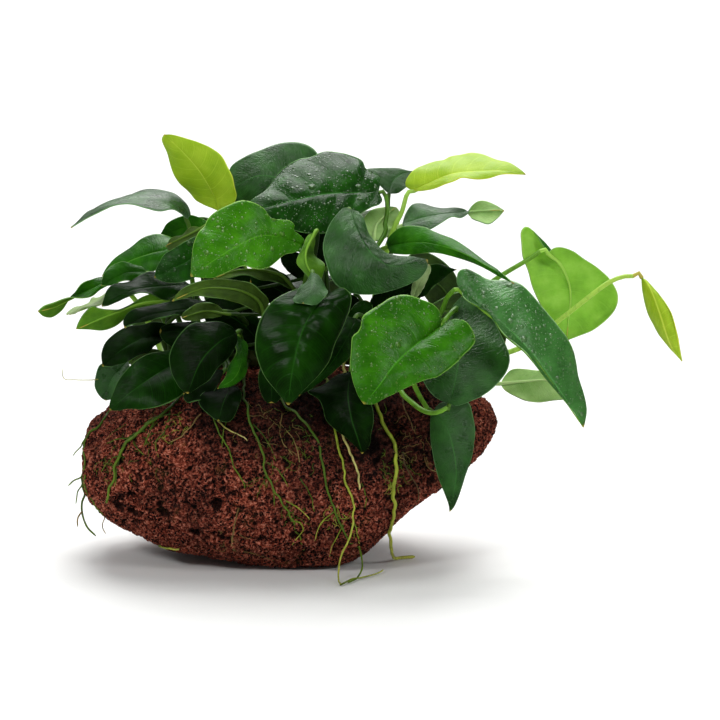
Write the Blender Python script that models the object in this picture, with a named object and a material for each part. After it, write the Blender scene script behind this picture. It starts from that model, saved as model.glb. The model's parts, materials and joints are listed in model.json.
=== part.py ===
"""Anubias on stone: a broad-leaved water plant whose rhizome creeps along a porous lava rock.

Frame: metres, +Z up, +X to the right, the fuller side of the plant towards -Y.
The origin is the middle of the stone's flat foot.
"""

import math

import bmesh
import bpy
import numpy as np
from mathutils import Vector, noise
from mathutils.bvhtree import BVHTree

MM = 0.001
GAP = 0.0004  # between neighbouring pieces

# The stone's driving dimensions
STONE_LENGTH = 0.180
STONE_DEPTH = 0.109
STONE_HEIGHT = 0.082
STONE_STATIONS = 24
STONE_SIDES = 28
STONE_SQUARENESS = 2.5  # exponent of the section's superellipse
STONE_END_ARC = 0.12  # radians left out of the arc that spaces the stations, at each end
STONE_END_CROWN = 0.0015  # how far the closed ends bulge
LUMP_HEIGHT = 0.0032
LUMP_SPACING = 0.030
GRAIN_HEIGHT = 0.0013
GRAIN_SPACING = 0.012
GRAIN_SHIFT = (7, 3, 5)  # keeps the grain from repeating the lumps
HOLLOW_STEEPNESS = 1.6

# The rhizome's driving dimensions
RHIZOME_RADIUS = 0.0046
RHIZOME_SIDES = 8
RHIZOME_STEPS = 15
LEAF_SCAR_DEPTH = 0.07  # of the radius, every second ring
OLD_END = (0.45, 0.55)  # how far each end reaches past the axis, in steps, and its radius as a share
GROWING_END = (0.60, 0.40)

# The leaves' driving dimensions
BUD_HEIGHT = 0.0016  # the petioles start this far off the rhizome's skin
PETIOLE_RADIUS = 0.00115
PETIOLE_TAPER = (1.15, 0.90)  # shares of that radius at the rhizome and at the blade
PETIOLE_RINGS = 3
PETIOLE_RISE = 0.40  # share of its span that a petiole first goes straight out
PETIOLE_LEAD_IN = 0.011  # it meets the blade along its last stretch, at most this long
BLADE_THICKNESS = 0.0009
RIB_THICKENING = 1.3
BLADE_STEPS = 50  # along the spine
BLADE_ROWS = (3, 9, 18, 28, 38, 46)  # the steps that have a row of vertices
BLADE_CROWN = 0.07  # share of its reach that each half blade arches up
LOBE_FADE = 0.16  # share of the spine along which a lobe behind the petiole fades out
WAVE_HEIGHT = 0.0010  # of the margins
WAVE_COUNT = 2.2
WAVE_OFFSET = 2.0  # radians, between the two margins
RANKS = {"front": 62, "top": 8, "rear": -50}  # rows of buds: degrees from straight up, to the front
RANK_ZIGZAG = 9  # degrees, every second bud to the other side
FAN = 0.9  # how strongly the petioles lean out towards the rhizome's ends

# The roots' driving dimensions
ROOT_RADIUS = 0.00095
ROOT_TAPER = (1.15, 0.65)  # shares of that radius at the rhizome and at the tip
ROOT_SIDES = 5
ROOT_STEP = 0.0085
ROOT_DROP = 0.35  # radians below level, as they leave the rhizome

# Sections of the stone, as shares of its length, height and depth:
# where along it, underside, top, front and back.
STONE_SECTIONS = (
    (0.000, 0.36, 0.62, -0.10, 0.12),
    (0.012, 0.29, 0.70, -0.22, 0.24),
    (0.070, 0.170, 0.80, -0.34, 0.36),
    (0.150, 0.095, 0.89, -0.42, 0.42),
    (0.240, 0.045, 0.95, -0.47, 0.46),
    (0.340, 0.015, 0.99, -0.50, 0.48),
    (0.430, -0.03, 1.00, -0.52, 0.49),
    (0.540, -0.05, 1.01, -0.52, 0.48),
    (0.640, -0.03, 1.00, -0.50, 0.46),
    (0.720, 0.09, 0.99, -0.47, 0.45),
    (0.780, 0.22, 0.97, -0.43, 0.43),
    (0.840, 0.34, 0.95, -0.38, 0.39),
    (0.900, 0.43, 0.91, -0.30, 0.32),
    (0.950, 0.51, 0.86, -0.21, 0.23),
    (0.985, 0.59, 0.81, -0.12, 0.14),
    (1.000, 0.65, 0.75, -0.05, 0.07),
)

# Hollows in the stone, millimetres: middle (across, towards the back, up), reach, depth
STONE_HOLLOWS = (
    ((49, -44, 61), 11, 9),
    ((-70, -34, 22), 6, 3),
    ((-52, -44, 18), 5, 3),
    ((-20, -54, 30), 6, 2.5),
    ((22, -56, 44), 7, 2.5),
    ((66, -34, 46), 6, 3),
    ((-40, -50, 52), 6, 2.5),
    ((4, -54, 16), 6, 2.5),
    ((-60, 44, 40), 8, 3.5),
    ((-10, 52, 48), 10, 4),
    ((38, 46, 36), 8, 3.5),
    ((-84, 0, 44), 7, 3),
)

# The rhizome's course over the stone, millimetres: across, towards the back
RHIZOME_COURSE = ((-56, 3), (-38, -3), (-18, 0), (2, -4), (22, 2), (42, -1), (60, 4))

# Leaves in millimetres: the spine runs from the petiole to the tip, and edges are a point on
# each margin where the blade is widest, at that share of the spine. lobe is how far the blade
# reaches back past the petiole. top says which way the upper side faces, and rank which row of
# the rhizome's buds the petiole grows from. stem lists points that the petiole passes, and
# outline the two half widths along a blade that isn't a plain oval. Within a rank the leaves
# follow each other along the rhizome in this order.
LEAVES = {
    "sheen_left_low": dict(
        rank="front", top="front", widest=0.42, lobe=1,
        spine=[(-69, -18, 88), (-75, -24, 81), (-77, -27, 72)],
        edges=[(-82, -22, 82), (-69, -26, 78)],
    ),
    "dark_left_mid": dict(
        rank="front", top="front", widest=0.45, lobe=1,
        spine=[(-53, -18, 99), (-63, -30, 100), (-71, -37, 96), (-77, -38, 89)],
        edges=[(-71, -28, 104), (-62, -40, 92)],
    ),
    "dark_left_low": dict(
        rank="front", top="front", widest=0.42, lobe=2,
        spine=[(-44, -30, 91), (-55, -40, 86), (-66, -46, 79), (-74, -46, 72)],
        edges=[(-63, -36, 91), (-53, -50, 79)],
    ),
    "under_round_left": dict(
        rank="front", top="front", widest=0.4, lobe=0,
        spine=[(-27, -38, 87), (-34, -45, 83), (-43, -49, 79)],
        edges=[(-37, -42, 85), (-34, -50, 77)],
    ),
    "dark_on_rock_left": dict(
        rank="front", top="front", widest=0.5, lobe=1,
        spine=[(-21, -42, 82), (-26, -54, 77), (-25, -57, 68)],
        edges=[(-36, -54, 76), (-19, -53, 75)],
    ),
    "round_dark_left": dict(
        rank="front", top="front", widest=0.5, lobe=2,
        spine=[(-20, -42, 104), (-29, -53, 99), (-37, -60, 92), (-42, -61, 82)],
        edges=[(-42, -51, 106), (-26, -62, 91)],
    ),
    "folded_rim_left": dict(
        rank="front", top="front", widest=0.5, lobe=0,
        spine=[(-18, -35, 96), (-21, -48, 91), (-29, -54, 83)],
        edges=[(-25, -55, 94), (-16, -48, 89)],
    ),
    "olive_arch": dict(
        rank="front", top="back", tone="olive leaf", widest=0.5, lobe=0,
        spine=[(-10, -26, 108), (-17, -34, 121), (-31, -42, 123), (-48, -47, 118)],
        edges=[(-27, -35, 126), (-27, -46, 117)],
    ),
    "central_left": dict(
        rank="front", top="front", widest=0.45, lobe=0,
        spine=[(2, -44, 99), (-5, -52, 89), (-6, -54, 76)],
        edges=[(-11, -50, 89), (0, -52, 85)],
    ),
    "wet_left_front": dict(
        rank="front", top="front", tone="bright leaf", widest=0.45, lobe=0,
        spine=[(5, -30, 144), (-10, -42, 146), (-24, -52, 140), (-39, -58, 129)],
        outline=[
            (0, 0, 0), (0.03, 0.2, 0.8), (0.1, 0.35, 0.95), (0.2, 0.4, 1.25), (0.33, 0.7, 1.45),
            (0.42, 0.95, 1.3), (0.5, 1, 1.1), (0.6, 0.95, 0.9), (0.75, 0.75, 0.7), (0.9, 0.45, 0.4),
            (1, 0, 0),
        ],
        edges=[(-22, -42, 159), (-14, -58, 134)],
    ),
    "rolled_centre": dict(
        rank="front", top="back", tone="bright leaf", widest=0.45, lobe=0,
        spine=[(15, -28, 148), (11, -33, 140), (10, -36, 131), (13, -36, 123)],
        edges=[(5, -39, 134), (17, -28, 135)],
    ),
    "bent_centre": dict(
        rank="front", top="front", widest=0.5, lobe=0,
        spine=[(15, -50, 127), (10, -60, 124), (6, -62, 119)],
        edges=[(7, -58, 128), (15, -62, 119)],
    ),
    "central_dark": dict(
        rank="front", top="front", widest=0.42, lobe=6,
        spine=[(16, -50, 118), (10, -62, 110), (4, -70, 100), (2, -72, 78)],
        edges=[(-11, -64, 105), (24, -56, 108)],
    ),
    "sheen_centre": dict(
        rank="front", top="front", widest=0.5, lobe=3,
        spine=[(26, -30, 154), (31, -42, 143), (42, -46, 132), (59, -36, 132)],
        edges=[(20, -40, 125), (41, -36, 139)],
    ),
    "hanging_centre": dict(
        rank="front", top="front", widest=0.42, lobe=3,
        spine=[(26, -44, 87), (25, -56, 78), (28, -62, 67), (33, -60, 55)],
        edges=[(13, -54, 75), (37, -56, 72)],
    ),
    "central_right": dict(
        rank="front", top="front", widest=0.42, lobe=2,
        spine=[(28, -40, 109), (24, -50, 99), (17, -56, 90), (6, -58, 80)],
        edges=[(15, -56, 102), (29, -46, 93)],
    ),
    "heart_front": dict(
        rank="front", top="front", tone="bright leaf", widest=0.42, lobe=(5, 12),
        spine=[(64, -60, 107), (55, -74, 101), (44, -84, 91), (31, -88, 81)],
        outline=[
            (0, 0, 0), (0.05, 0.45, 0.35), (0.12, 0.9, 0.95), (0.2, 1, 1), (0.3, 1, 0.95),
            (0.42, 1, 0.86), (0.55, 0.92, 0.72), (0.7, 0.74, 0.56), (0.85, 0.46, 0.32),
            (0.93, 0.27, 0.18), (1, 0, 0),
        ],
        edges=[(34, -80, 115), (69, -74, 94)],
    ),
    "hanging_right": dict(
        rank="front", top="front", widest=0.36, lobe=1,
        spine=[(68, -60, 74), (70, -65, 62), (70, -67, 47), (69, -62, 32)],
        stem=[(53, -56, 86), (58, -60, 79)],
        edges=[(60, -62, 60), (78, -62, 63)],
    ),
    "inverted_right": dict(
        rank="front", top="front", widest=0.4, lobe=4,
        spine=[(69, -50, 75), (72, -51, 89), (75, -47, 104), (74, -39, 119)],
        stem=[(50, -40, 78), (57, -43, 72), (63, -46, 70)],
        edges=[(54, -47, 92), (93, -46, 94)],
    ),
    "lance_right": dict(
        rank="front", top="front", widest=0.5, lobe=(6, 0),
        spine=[(72, -54, 123), (89, -63, 121), (108, -62, 103), (125, -54, 65)],
        outline=[
            (0, 0, 0), (0.04, 0.75, 0.2), (0.08, 0.9, 0.28), (0.21, 0.9, 0.48), (0.35, 1, 0.75),
            (0.5, 0.8, 0.8), (0.66, 0.78, 0.65), (0.8, 0.55, 0.42), (0.92, 0.3, 0.22), (1, 0, 0),
        ],
        edges=[(115, -48, 109), (92, -64, 102)],
    ),
    "light_under_left": dict(
        rank="top", top="back", tone="olive leaf", widest=0.45, lobe=0,
        spine=[(-55, -11, 113), (-68, -19, 111), (-79, -23, 108), (-91, -24, 104)],
        edges=[(-74, -29, 114), (-73, -15, 104)],
    ),
    "glossy_left": dict(
        rank="top", top="front", widest=0.4, lobe=2,
        spine=[(-43, -6, 121), (-58, -10, 121), (-70, -13, 118), (-81, -14, 111)],
        edges=[(-61, -4, 126), (-59, -12, 116)],
    ),
    "wet_left_low": dict(
        rank="top", top="front", widest=0.42, lobe=3,
        spine=[(-34, -14, 136), (-44, -22, 133), (-56, -26, 126)],
        edges=[(-48, -18, 138), (-44, -28, 124)],
    ),
    "rimmed_left": dict(
        rank="top", top="front", widest=0.42, lobe=1,
        spine=[(-28, -24, 108), (-41, -30, 108), (-55, -35, 107), (-68, -36, 105)],
        edges=[(-46, -38, 113), (-47, -28, 103)],
    ),
    "thin_olive": dict(
        rank="top", top="back", tone="olive leaf", widest=0.5, lobe=0,
        spine=[(2, -14, 119), (-8, -18, 126), (-20, -22, 127), (-32, -24, 125)],
        edges=[(-15, -14, 129), (-15, -26, 124)],
    ),
    "wet_top": dict(
        rank="top", top="front", widest=0.4, lobe=6,
        spine=[(40, 4, 159), (23, -4, 161), (3, -12, 157), (-19, -16, 152)],
        stem=[(39, 0, 137), (42, 2, 146), (43, 4, 154)],
        edges=[(16, 14, 176), (18, -18, 143)],
    ),
    "lance_upper": dict(
        rank="top", top="front", tone="bright leaf", widest=0.34, lobe=(3, 1),
        spine=[(43, -14, 135), (56, -26, 142), (74, -46, 138), (94, -70, 128)],
        outline=[
            (0, 0, 0), (0.06, 0.6, 0.6), (0.2, 1, 1), (0.34, 1, 1), (0.5, 0.68, 0.62),
            (0.7, 0.36, 0.34), (0.85, 0.2, 0.2), (1, 0, 0),
        ],
        edges=[(58, -22, 147), (59, -38, 136)],
    ),
    "lime_right": dict(
        rank="top", top="front", tone="lime leaf", widest=0.4, lobe=(5, 0),
        spine=[(54, 0, 160), (70, -4, 169), (87, -6, 171), (103, -4, 167)],
        stem=[(44, -2, 139), (49, -1, 151)],
        edges=[(70, 10, 173), (73, -12, 167)],
    ),
    "small_upper": dict(
        rank="top", top="front", tone="pale leaf", widest=0.5, lobe=0,
        spine=[(58, -4, 114), (63, -9, 122), (73, -12, 128)],
        edges=[(60, -6, 129), (68, -16, 121)],
    ),
    "rolled_bud": dict(
        rank="top", top="back", tone="pale leaf", widest=0.5, lobe=0,
        spine=[(154, 0, 122), (158, -2, 113), (164, -4, 102), (172, -4, 86)],
        stem=[(79, 1, 87), (100, -1, 91), (116, 0, 102), (135, 0, 117),
              (141, 0, 121), (147, 0, 123), (152, 0, 123)],
        edges=[(157, -8, 106), (165, -8, 110)],
    ),
    "pale_edge_left": dict(
        rank="rear", top="up", tone="pale leaf", widest=0.45, lobe=0,
        spine=[(-78, 15, 115), (-86, 10, 110), (-98, 7, 105)],
        edges=[(-88, 20, 110), (-86, 0, 110)],
    ),
    "twisted_left": dict(
        rank="rear", top="front", tone="mature leaf", widest=0.5, lobe=0,
        spine=[(-72, 10, 121), (-85, 3, 118), (-98, -5, 113), (-109, -8, 109)],
        edges=[(-91, -4, 120), (-90, 6, 111)],
    ),
    "round_left": dict(
        rank="rear", top="back", tone="olive leaf", widest=0.4, lobe=1,
        spine=[(-60, 2, 126), (-70, -2, 125), (-82, -5, 120)],
        edges=[(-72, 2, 129), (-70, -6, 119)],
    ),
    "dark_left_upper": dict(
        rank="rear", top="front", widest=0.42, lobe=3,
        spine=[(-45, 10, 133), (-61, 11, 132), (-72, 14, 128), (-83, 16, 121)],
        edges=[(-67, 20, 138), (-61, 6, 125)],
    ),
    "arched_left": dict(
        rank="rear", top="up", widest=0.42, lobe=2,
        spine=[(-43, 0, 148), (-49, 0, 156), (-73, -4, 155), (-94, -8, 145)],
        edges=[(-66, 13, 158), (-64, -14, 156)],
    ),
    "rear_left_low": dict(
        rank="rear", top="back", widest=0.42, lobe=4,
        spine=[(-40, 28, 104), (-52, 42, 105), (-66, 52, 95), (-76, 56, 78)],
        edges=[(-55, 42, 114), (-63, 55, 86)],
    ),
    "back_left_small": dict(
        rank="rear", top="front", tone="bright leaf", widest=0.4, lobe=0,
        spine=[(-37, 20, 138), (-45, 24, 141), (-56, 26, 142)],
        edges=[(-50, 24, 138), (-44, 22, 146)],
    ),
    "strip_left": dict(
        rank="rear", top="back", tone="olive leaf", widest=0.4, lobe=0,
        spine=[(-36, -8, 146), (-44, -12, 143), (-53, -14, 139)],
        edges=[(-44, -22, 146), (-44, -4, 140)],
    ),
    "lime_top": dict(
        rank="rear", top="front", tone="lime leaf", widest=0.4, lobe=0,
        spine=[(-30, 8, 151), (-41, 6, 166), (-54, 4, 185)],
        edges=[(-48, 12, 164), (-26, 0, 169)],
    ),
    "rear_left_high": dict(
        rank="rear", top="back", widest=0.42, lobe=4,
        spine=[(-22, 26, 132), (-32, 38, 141), (-46, 50, 139), (-60, 58, 126)],
        edges=[(-38, 38, 154), (-44, 56, 124)],
    ),
    "rear_middle": dict(
        rank="rear", top="back", widest=0.42, lobe=4,
        spine=[(0, 28, 114), (2, 44, 119), (4, 60, 112), (6, 68, 94)],
        edges=[(-16, 52, 112), (23, 52, 114)],
    ),
    "back_top": dict(
        rank="rear", top="front", widest=0.38, lobe=2,
        spine=[(10, 24, 152), (-1, 30, 162), (-15, 33, 166), (-28, 32, 162)],
        edges=[(0, 40, 178), (-14, 26, 149)],
    ),
    "rear_middle_high": dict(
        rank="rear", top="back", widest=0.42, lobe=4,
        spine=[(16, 22, 136), (20, 38, 149), (27, 52, 150), (34, 64, 138)],
        edges=[(6, 50, 151), (42, 44, 147)],
    ),
    "pale_behind": dict(
        rank="rear", top="back", tone="pale leaf", widest=0.45, lobe=0,
        spine=[(37, 14, 137), (39, 20, 144), (47, 24, 151)],
        edges=[(32, 20, 145), (47, 18, 142)],
    ),
    "rear_right": dict(
        rank="rear", top="back", widest=0.42, lobe=4,
        spine=[(42, 26, 114), (54, 42, 120), (68, 54, 112), (78, 60, 94)],
        edges=[(60, 42, 129), (64, 56, 102)],
    ),
    "twisted_tip_right": dict(
        rank="rear", top="front", widest=0.3, lobe=0,
        spine=[(49, 12, 145), (63, 15, 148), (77, 16, 150), (94, 14, 150)],
        outline=[
            (0, 0, 0), (0.05, 1.1, 0.2), (0.1, 1.5, 0.35), (0.3, 1, 1), (0.5, 0.6, 0.45),
            (0.63, 0.5, 0.3), (0.74, 1.1, 0.65), (0.87, 1.1, 1), (0.95, 0.7, 0.6), (1, 0, 0),
        ],
        edges=[(63, 22, 152), (63, 8, 143)],
    ),
    "grey_back_right": dict(
        rank="rear", top="front", widest=0.42, lobe=1,
        spine=[(50, 28, 155), (45, 33, 162), (35, 36, 167)],
        edges=[(38, 30, 157), (52, 36, 167)],
    ),
    "rear_right_low": dict(
        rank="rear", top="back", widest=0.42, lobe=4,
        spine=[(56, 24, 100), (72, 32, 104), (90, 40, 96), (106, 42, 80)],
        edges=[(80, 28, 112), (88, 46, 87)],
    ),
    "pale_cordate": dict(
        rank="rear", top="back", tone="pale leaf", widest=0.4, lobe=(15, 1),
        spine=[(113, 8, 132), (120, 13, 125), (123, 14, 111), (121, 8, 94)],
        stem=[(79, 6, 112), (91, 8, 121), (104, 8, 129)],
        outline=[
            (0, 0, 0), (0.03, 0.4, 0.12), (0.06, 0.55, 0.25), (0.12, 0.68, 0.42), (0.18, 0.8, 0.6),
            (0.36, 1, 0.92), (0.45, 1, 1), (0.56, 0.9, 0.97), (0.76, 0.6, 0.65), (0.92, 0.2, 0.22),
            (1, 0, 0),
        ],
        edges=[(105, 8, 119), (145, 16, 114)],
    ),
    "pale_right_low": dict(
        rank="rear", top="back", tone="pale leaf", widest=0.42, lobe=1,
        spine=[(92, 8, 73), (102, 4, 76), (113, 2, 75), (123, 2, 70)],
        edges=[(105, 9, 82), (106, -2, 69)],
    ),
}

LEAF_TONES = {
    "mature leaf": (0.012, 0.045, 0.010),
    "bright leaf": (0.06, 0.24, 0.02),
    "lime leaf": (0.30, 0.52, 0.03),
    "pale leaf": (0.28, 0.45, 0.12),
    "olive leaf": (0.06, 0.13, 0.02),
}

# Roots in millimetres: where along the rhizome each one leaves it, then its course.
# A point of two numbers, (across, up), lies on the stone's front. One of three numbers,
# (across, towards the back, up), is on top of the stone, or free of it.
ROOTS = {
    "left_edge": (-54, [(-64, -7, 78), (-75, 67), (-81, 60), (-86, 56), (-88, 51), (-87, 44),
                        (-87, 34), (-84, 27), (-80, 22)]),
    "left_thick": (-46, [(-44, -16, 82), (-44, 76), (-50, 70), (-59, 64), (-68, 56), (-72, 50),
                         (-73, 43), (-76, 34), (-77, 30)]),
    "left_middle": (-32, [(-32, -18, 83), (-31, 73), (-29, 65), (-24, 56), (-22, 49), (-18, 43),
                          (-17, 39)]),
    "middle": (-17, [(-19, -15, 84), (-18, 76), (-15, 67), (-11, 58), (-9, 50), (-6, 42), (-3, 36),
                     (1, 30), (5, 20), (8, 11)]),
    "middle_right": (-5, [(-4, -16, 84), (-2, 74), (4, 70), (9, 66), (14, 56), (16, 47), (17, 40),
                          (20, 31), (24, 21), (30, 12), (32, -48, 5), (30, -54, 1), (26, -62, 1)]),
    "right_inner": (12, [(15, -18, 84), (19, 72), (21, 60), (24, 48), (25, 41), (28, 34), (28, 28),
                         (27, -56, 20), (23, -53, 10), (22, -52, 4), (22, -58, 1), (23, -66, 1)]),
    "right_thick": (24, [(24, -18, 84), (24, 74), (24, 62), (27, 54), (30, 45), (31, 39)]),
    "right_long": (36, [(37, -18, 83), (37, 74), (40, 66), (45, 56), (46, 48), (45, 38), (45, 28),
                        (44, -38, 16), (45, -27, 5), (47, -18, 1), (55, -15, 1)]),
}


def mm(point):
    """A point in millimetres, as a vector in metres."""
    return Vector(point) * MM


def material(name, colour, roughness):
    """A plain finish: linear colour, roughness, no metal."""
    made = bpy.data.materials.new(name)
    made.use_nodes = True
    shader = made.node_tree.nodes["Principled BSDF"]
    shader.inputs["Base Color"].default_value = (*colour, 1.0)
    shader.inputs["Roughness"].default_value = roughness
    shader.inputs["Metallic"].default_value = 0.0
    return made


def add_object(name, vertices, faces, finish):
    """One closed piece, with its faces turned outwards and shaded smooth."""
    mesh = bpy.data.meshes.new(name)
    mesh.from_pydata([tuple(v) for v in vertices], [], faces)
    shell = bmesh.new()
    shell.from_mesh(mesh)
    bmesh.ops.triangulate(shell, faces=shell.faces)
    bmesh.ops.recalc_face_normals(shell, faces=shell.faces)
    shell.to_mesh(mesh)
    shell.free()
    mesh.shade_smooth()
    mesh.materials.append(finish)
    piece = bpy.data.objects.new(name, mesh)
    bpy.context.scene.collection.objects.link(piece)
    return piece


def surface_of(vertices, faces):
    """The shape as a surface that rays and nearest points can be asked of."""
    return BVHTree.FromPolygons([tuple(v) for v in vertices], faces)


def smooth_course(points, count):
    """count points, evenly spaced along a smooth curve through the given points."""
    padded = [2 * points[0] - points[1], *points, 2 * points[-1] - points[-2]]
    dense = []
    parts = 16
    for a, b, c, d in zip(padded, padded[1:], padded[2:], padded[3:]):
        for step in range(parts):
            t = step / parts
            bend = (2 * a - 5 * b + 4 * c - d) * t**2
            twist = (3 * b - a - 3 * c + d) * t**3
            dense.append(0.5 * (2 * b + (c - a) * t + bend + twist))
    dense.append(points[-1])
    lengths = np.cumsum([0.0] + [(q - p).length for p, q in zip(dense, dense[1:])])
    wanted = np.linspace(0.0, lengths[-1], count)
    columns = [np.interp(wanted, lengths, [p[axis] for p in dense]) for axis in range(3)]
    return [Vector(p) for p in zip(*columns)]


def tangents_of(path):
    """The direction of a path at each of its points."""
    ahead = path[1:] + path[-1:]
    behind = path[:1] + path[:-1]
    return [(b - a).normalized() for a, b in zip(behind, ahead)]


def tube(path, radii, sides):
    """Rings of vertices along a path, without twist, and the faces between them and at both ends."""
    tangents = tangents_of(path)
    first = tangents[0].orthogonal().normalized()
    vertices, faces = [], []
    for ring, (centre, tangent, radius) in enumerate(zip(path, tangents, radii)):
        if ring:
            first = tangents[ring - 1].rotation_difference(tangent) @ first
        second = tangent.cross(first)
        for side in range(sides):
            angle = 2 * math.pi * side / sides
            vertices.append(centre + radius * (math.cos(angle) * first + math.sin(angle) * second))
    for ring in range(len(path) - 1):
        for side in range(sides):
            here, there = ring * sides + side, ring * sides + (side + 1) % sides
            faces.append((here, there, there + sides, here + sides))
    faces.append(tuple(range(sides)))
    faces.append(tuple(range(len(vertices) - sides, len(vertices))))
    return vertices, faces


# The stone


def stone_relief(point):
    """How far the stone's skin stands out of its plain form there."""
    lumps = LUMP_HEIGHT * noise.noise(point / LUMP_SPACING)
    grain = GRAIN_HEIGHT * noise.noise(point / GRAIN_SPACING + Vector(GRAIN_SHIFT))
    hollow = 0.0
    for middle, reach, depth in STONE_HOLLOWS:
        near = 1 - (point - mm(middle)).length / (reach * MM)
        hollow = max(hollow, depth * MM * min(1.0, HOLLOW_STEEPNESS * near))
    return lumps + grain - hollow


def stone_section(share):
    """The ring of points around the stone at that share of its length, flat where it stands."""
    sections = np.array(STONE_SECTIONS)
    low, high, front, back = [np.interp(share, sections[:, 0], sections[:, k]) for k in (1, 2, 3, 4)]
    middle = Vector((
        STONE_LENGTH * (share - 0.5),
        STONE_DEPTH * (front + back) / 2,
        STONE_HEIGHT * (low + high) / 2,
    ))
    power = 2 / STONE_SQUARENESS
    ring = []
    for side in range(STONE_SIDES):
        angle = 2 * math.pi * (side + 0.5) / STONE_SIDES
        swing, lift = math.cos(angle), math.sin(angle)
        out = Vector((
            0.0,
            STONE_DEPTH * (back - front) / 2 * math.copysign(abs(swing) ** power, swing),
            STONE_HEIGHT * (high - low) / 2 * math.copysign(abs(lift) ** power, lift),
        ))
        point = middle + out
        point += stone_relief(point) * out.normalized()
        point.z = max(point.z, 0.0)
        ring.append(point)
    return ring


def stone_shape():
    """The stone's sections, closer together towards its ends, joined into one closed skin."""
    arc = np.linspace(STONE_END_ARC, math.pi - STONE_END_ARC, STONE_STATIONS)
    shares = 0.5 - 0.5 * np.cos(arc)
    shares = (shares - shares[0]) / (shares[-1] - shares[0])
    vertices, faces = [], []
    for share in shares:
        vertices += stone_section(share)
    for station in range(STONE_STATIONS - 1):
        for side in range(STONE_SIDES):
            here = station * STONE_SIDES + side
            there = station * STONE_SIDES + (side + 1) % STONE_SIDES
            faces.append((here, there, there + STONE_SIDES, here + STONE_SIDES))
    for first, outward in ((0, -1), (len(vertices) - STONE_SIDES, 1)):
        ring = list(range(first, first + STONE_SIDES))
        middle = sum((vertices[k] for k in ring), Vector()) / STONE_SIDES
        vertices.append(middle + Vector((outward * STONE_END_CROWN, 0, 0)))
        for k, here in enumerate(ring):
            faces.append((here, ring[(k + 1) % STONE_SIDES], len(vertices) - 1))
    return vertices, faces


# The rhizome


def rhizome_course(stone):
    """The rhizome's axis: it lies on the stone's highest ground under it."""
    axis = []
    above = 2 * STONE_HEIGHT / MM
    underneath = ((0, 0), (-4, 0), (4, 0), (0, -3), (0, 3))
    for point in smooth_course([mm((x, y, above)) for x, y in RHIZOME_COURSE], RHIZOME_STEPS):
        ground = []
        for across, back in underneath:
            hit = stone.ray_cast(point + mm((across, back, 0)), Vector((0, 0, -1)))[0]
            ground.append(hit.z)
        axis.append(Vector((point.x, point.y, max(ground) + RHIZOME_RADIUS + GAP)))
    heights = [p.z for p in axis]
    for k, point in enumerate(axis):
        point.z = max(heights[max(0, k - 1): k + 2])
    return axis


def rhizome_shape(axis):
    """A stem ringed by leaf scars, blunter at its old end than at the growing one."""
    shares = [1.0 - LEAF_SCAR_DEPTH * (k % 2) for k in range(len(axis))]
    old = axis[0] + (axis[0] - axis[1]) * OLD_END[0]
    growing = axis[-1] + (axis[-1] - axis[-2]) * GROWING_END[0]
    radii = [RHIZOME_RADIUS * share for share in (OLD_END[1], *shares, GROWING_END[1])]
    return tube([old, *axis, growing], radii, RHIZOME_SIDES)


def along_rhizome(axis, share):
    """The point of the rhizome's axis at that share of its length."""
    place = share * (len(axis) - 1)
    k = min(int(place), len(axis) - 2)
    return axis[k].lerp(axis[k + 1], place - k)


# The leaves


def blade_width(leaf, v, side):
    """A half blade's width at v, from 0 at the petiole to 1 at the tip, as a share of its widest."""
    if "outline" in leaf:
        shares = np.array(leaf["outline"])
        return float(np.interp(v, shares[:, 0], shares[:, 1 + side]))
    widest = leaf["widest"]
    taper = 0.5 * (1 - widest) / widest
    peak = widest**0.5 * (1 - widest) ** taper
    return v**0.5 * (1 - v) ** taper / peak


def blade_frames(leaf):
    """Along the spine: its point, direction, both half blades' reach, and the upper side's normal.

    Also the lobes behind the petiole and the halves' places in the leaf's row, left half first.
    """
    spine = smooth_course([mm(p) for p in leaf["spine"]], BLADE_STEPS + 1)
    tangents = tangents_of(spine)
    at = round(leaf["widest"] * BLADE_STEPS)
    reach = [mm(p) - spine[at] for p in leaf["edges"]]
    lobes = leaf["lobe"] if isinstance(leaf["lobe"], tuple) else (leaf["lobe"],) * 2
    sides = (0, 1)
    facing = {"front": (0, -1, 0), "back": (0, 1, 0), "up": (0, 0, 1)}[leaf["top"]]
    if (reach[1] - reach[0]).cross(tangents[at]).dot(Vector(facing)) < 0:
        reach.reverse()
        sides = (1, 0)
    frames = []
    for point, tangent in zip(spine, tangents):
        turn = tangents[at].rotation_difference(tangent)
        left, right = turn @ reach[0], turn @ reach[1]
        frames.append((point, tangent, left, right, (right - left).cross(tangent).normalized()))
    return frames, [(lobes[side] * MM, side) for side in sides]


def blade_point(leaf, frames, halves, row, u):
    """A point of the blade's middle surface. u runs from -1 at one margin to 1 at the other."""
    point, tangent, left, right, normal = frames[row]
    v = row / BLADE_STEPS
    reach = right if u > 0 else left
    lobe, side = halves[u > 0]
    width = blade_width(leaf, v, side)
    lobe *= math.exp(-((v / LOBE_FADE) ** 2)) * u * u
    bulge = BLADE_CROWN * reach.length * width * math.sin(math.pi * abs(u))
    phase = WAVE_OFFSET if u > 0 else 0.0
    wave = WAVE_HEIGHT * abs(u) ** 3 * width * math.sin(2 * math.pi * WAVE_COUNT * v + phase)
    return point + abs(u) * width * reach - lobe * tangent + (bulge + wave) * normal


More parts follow.
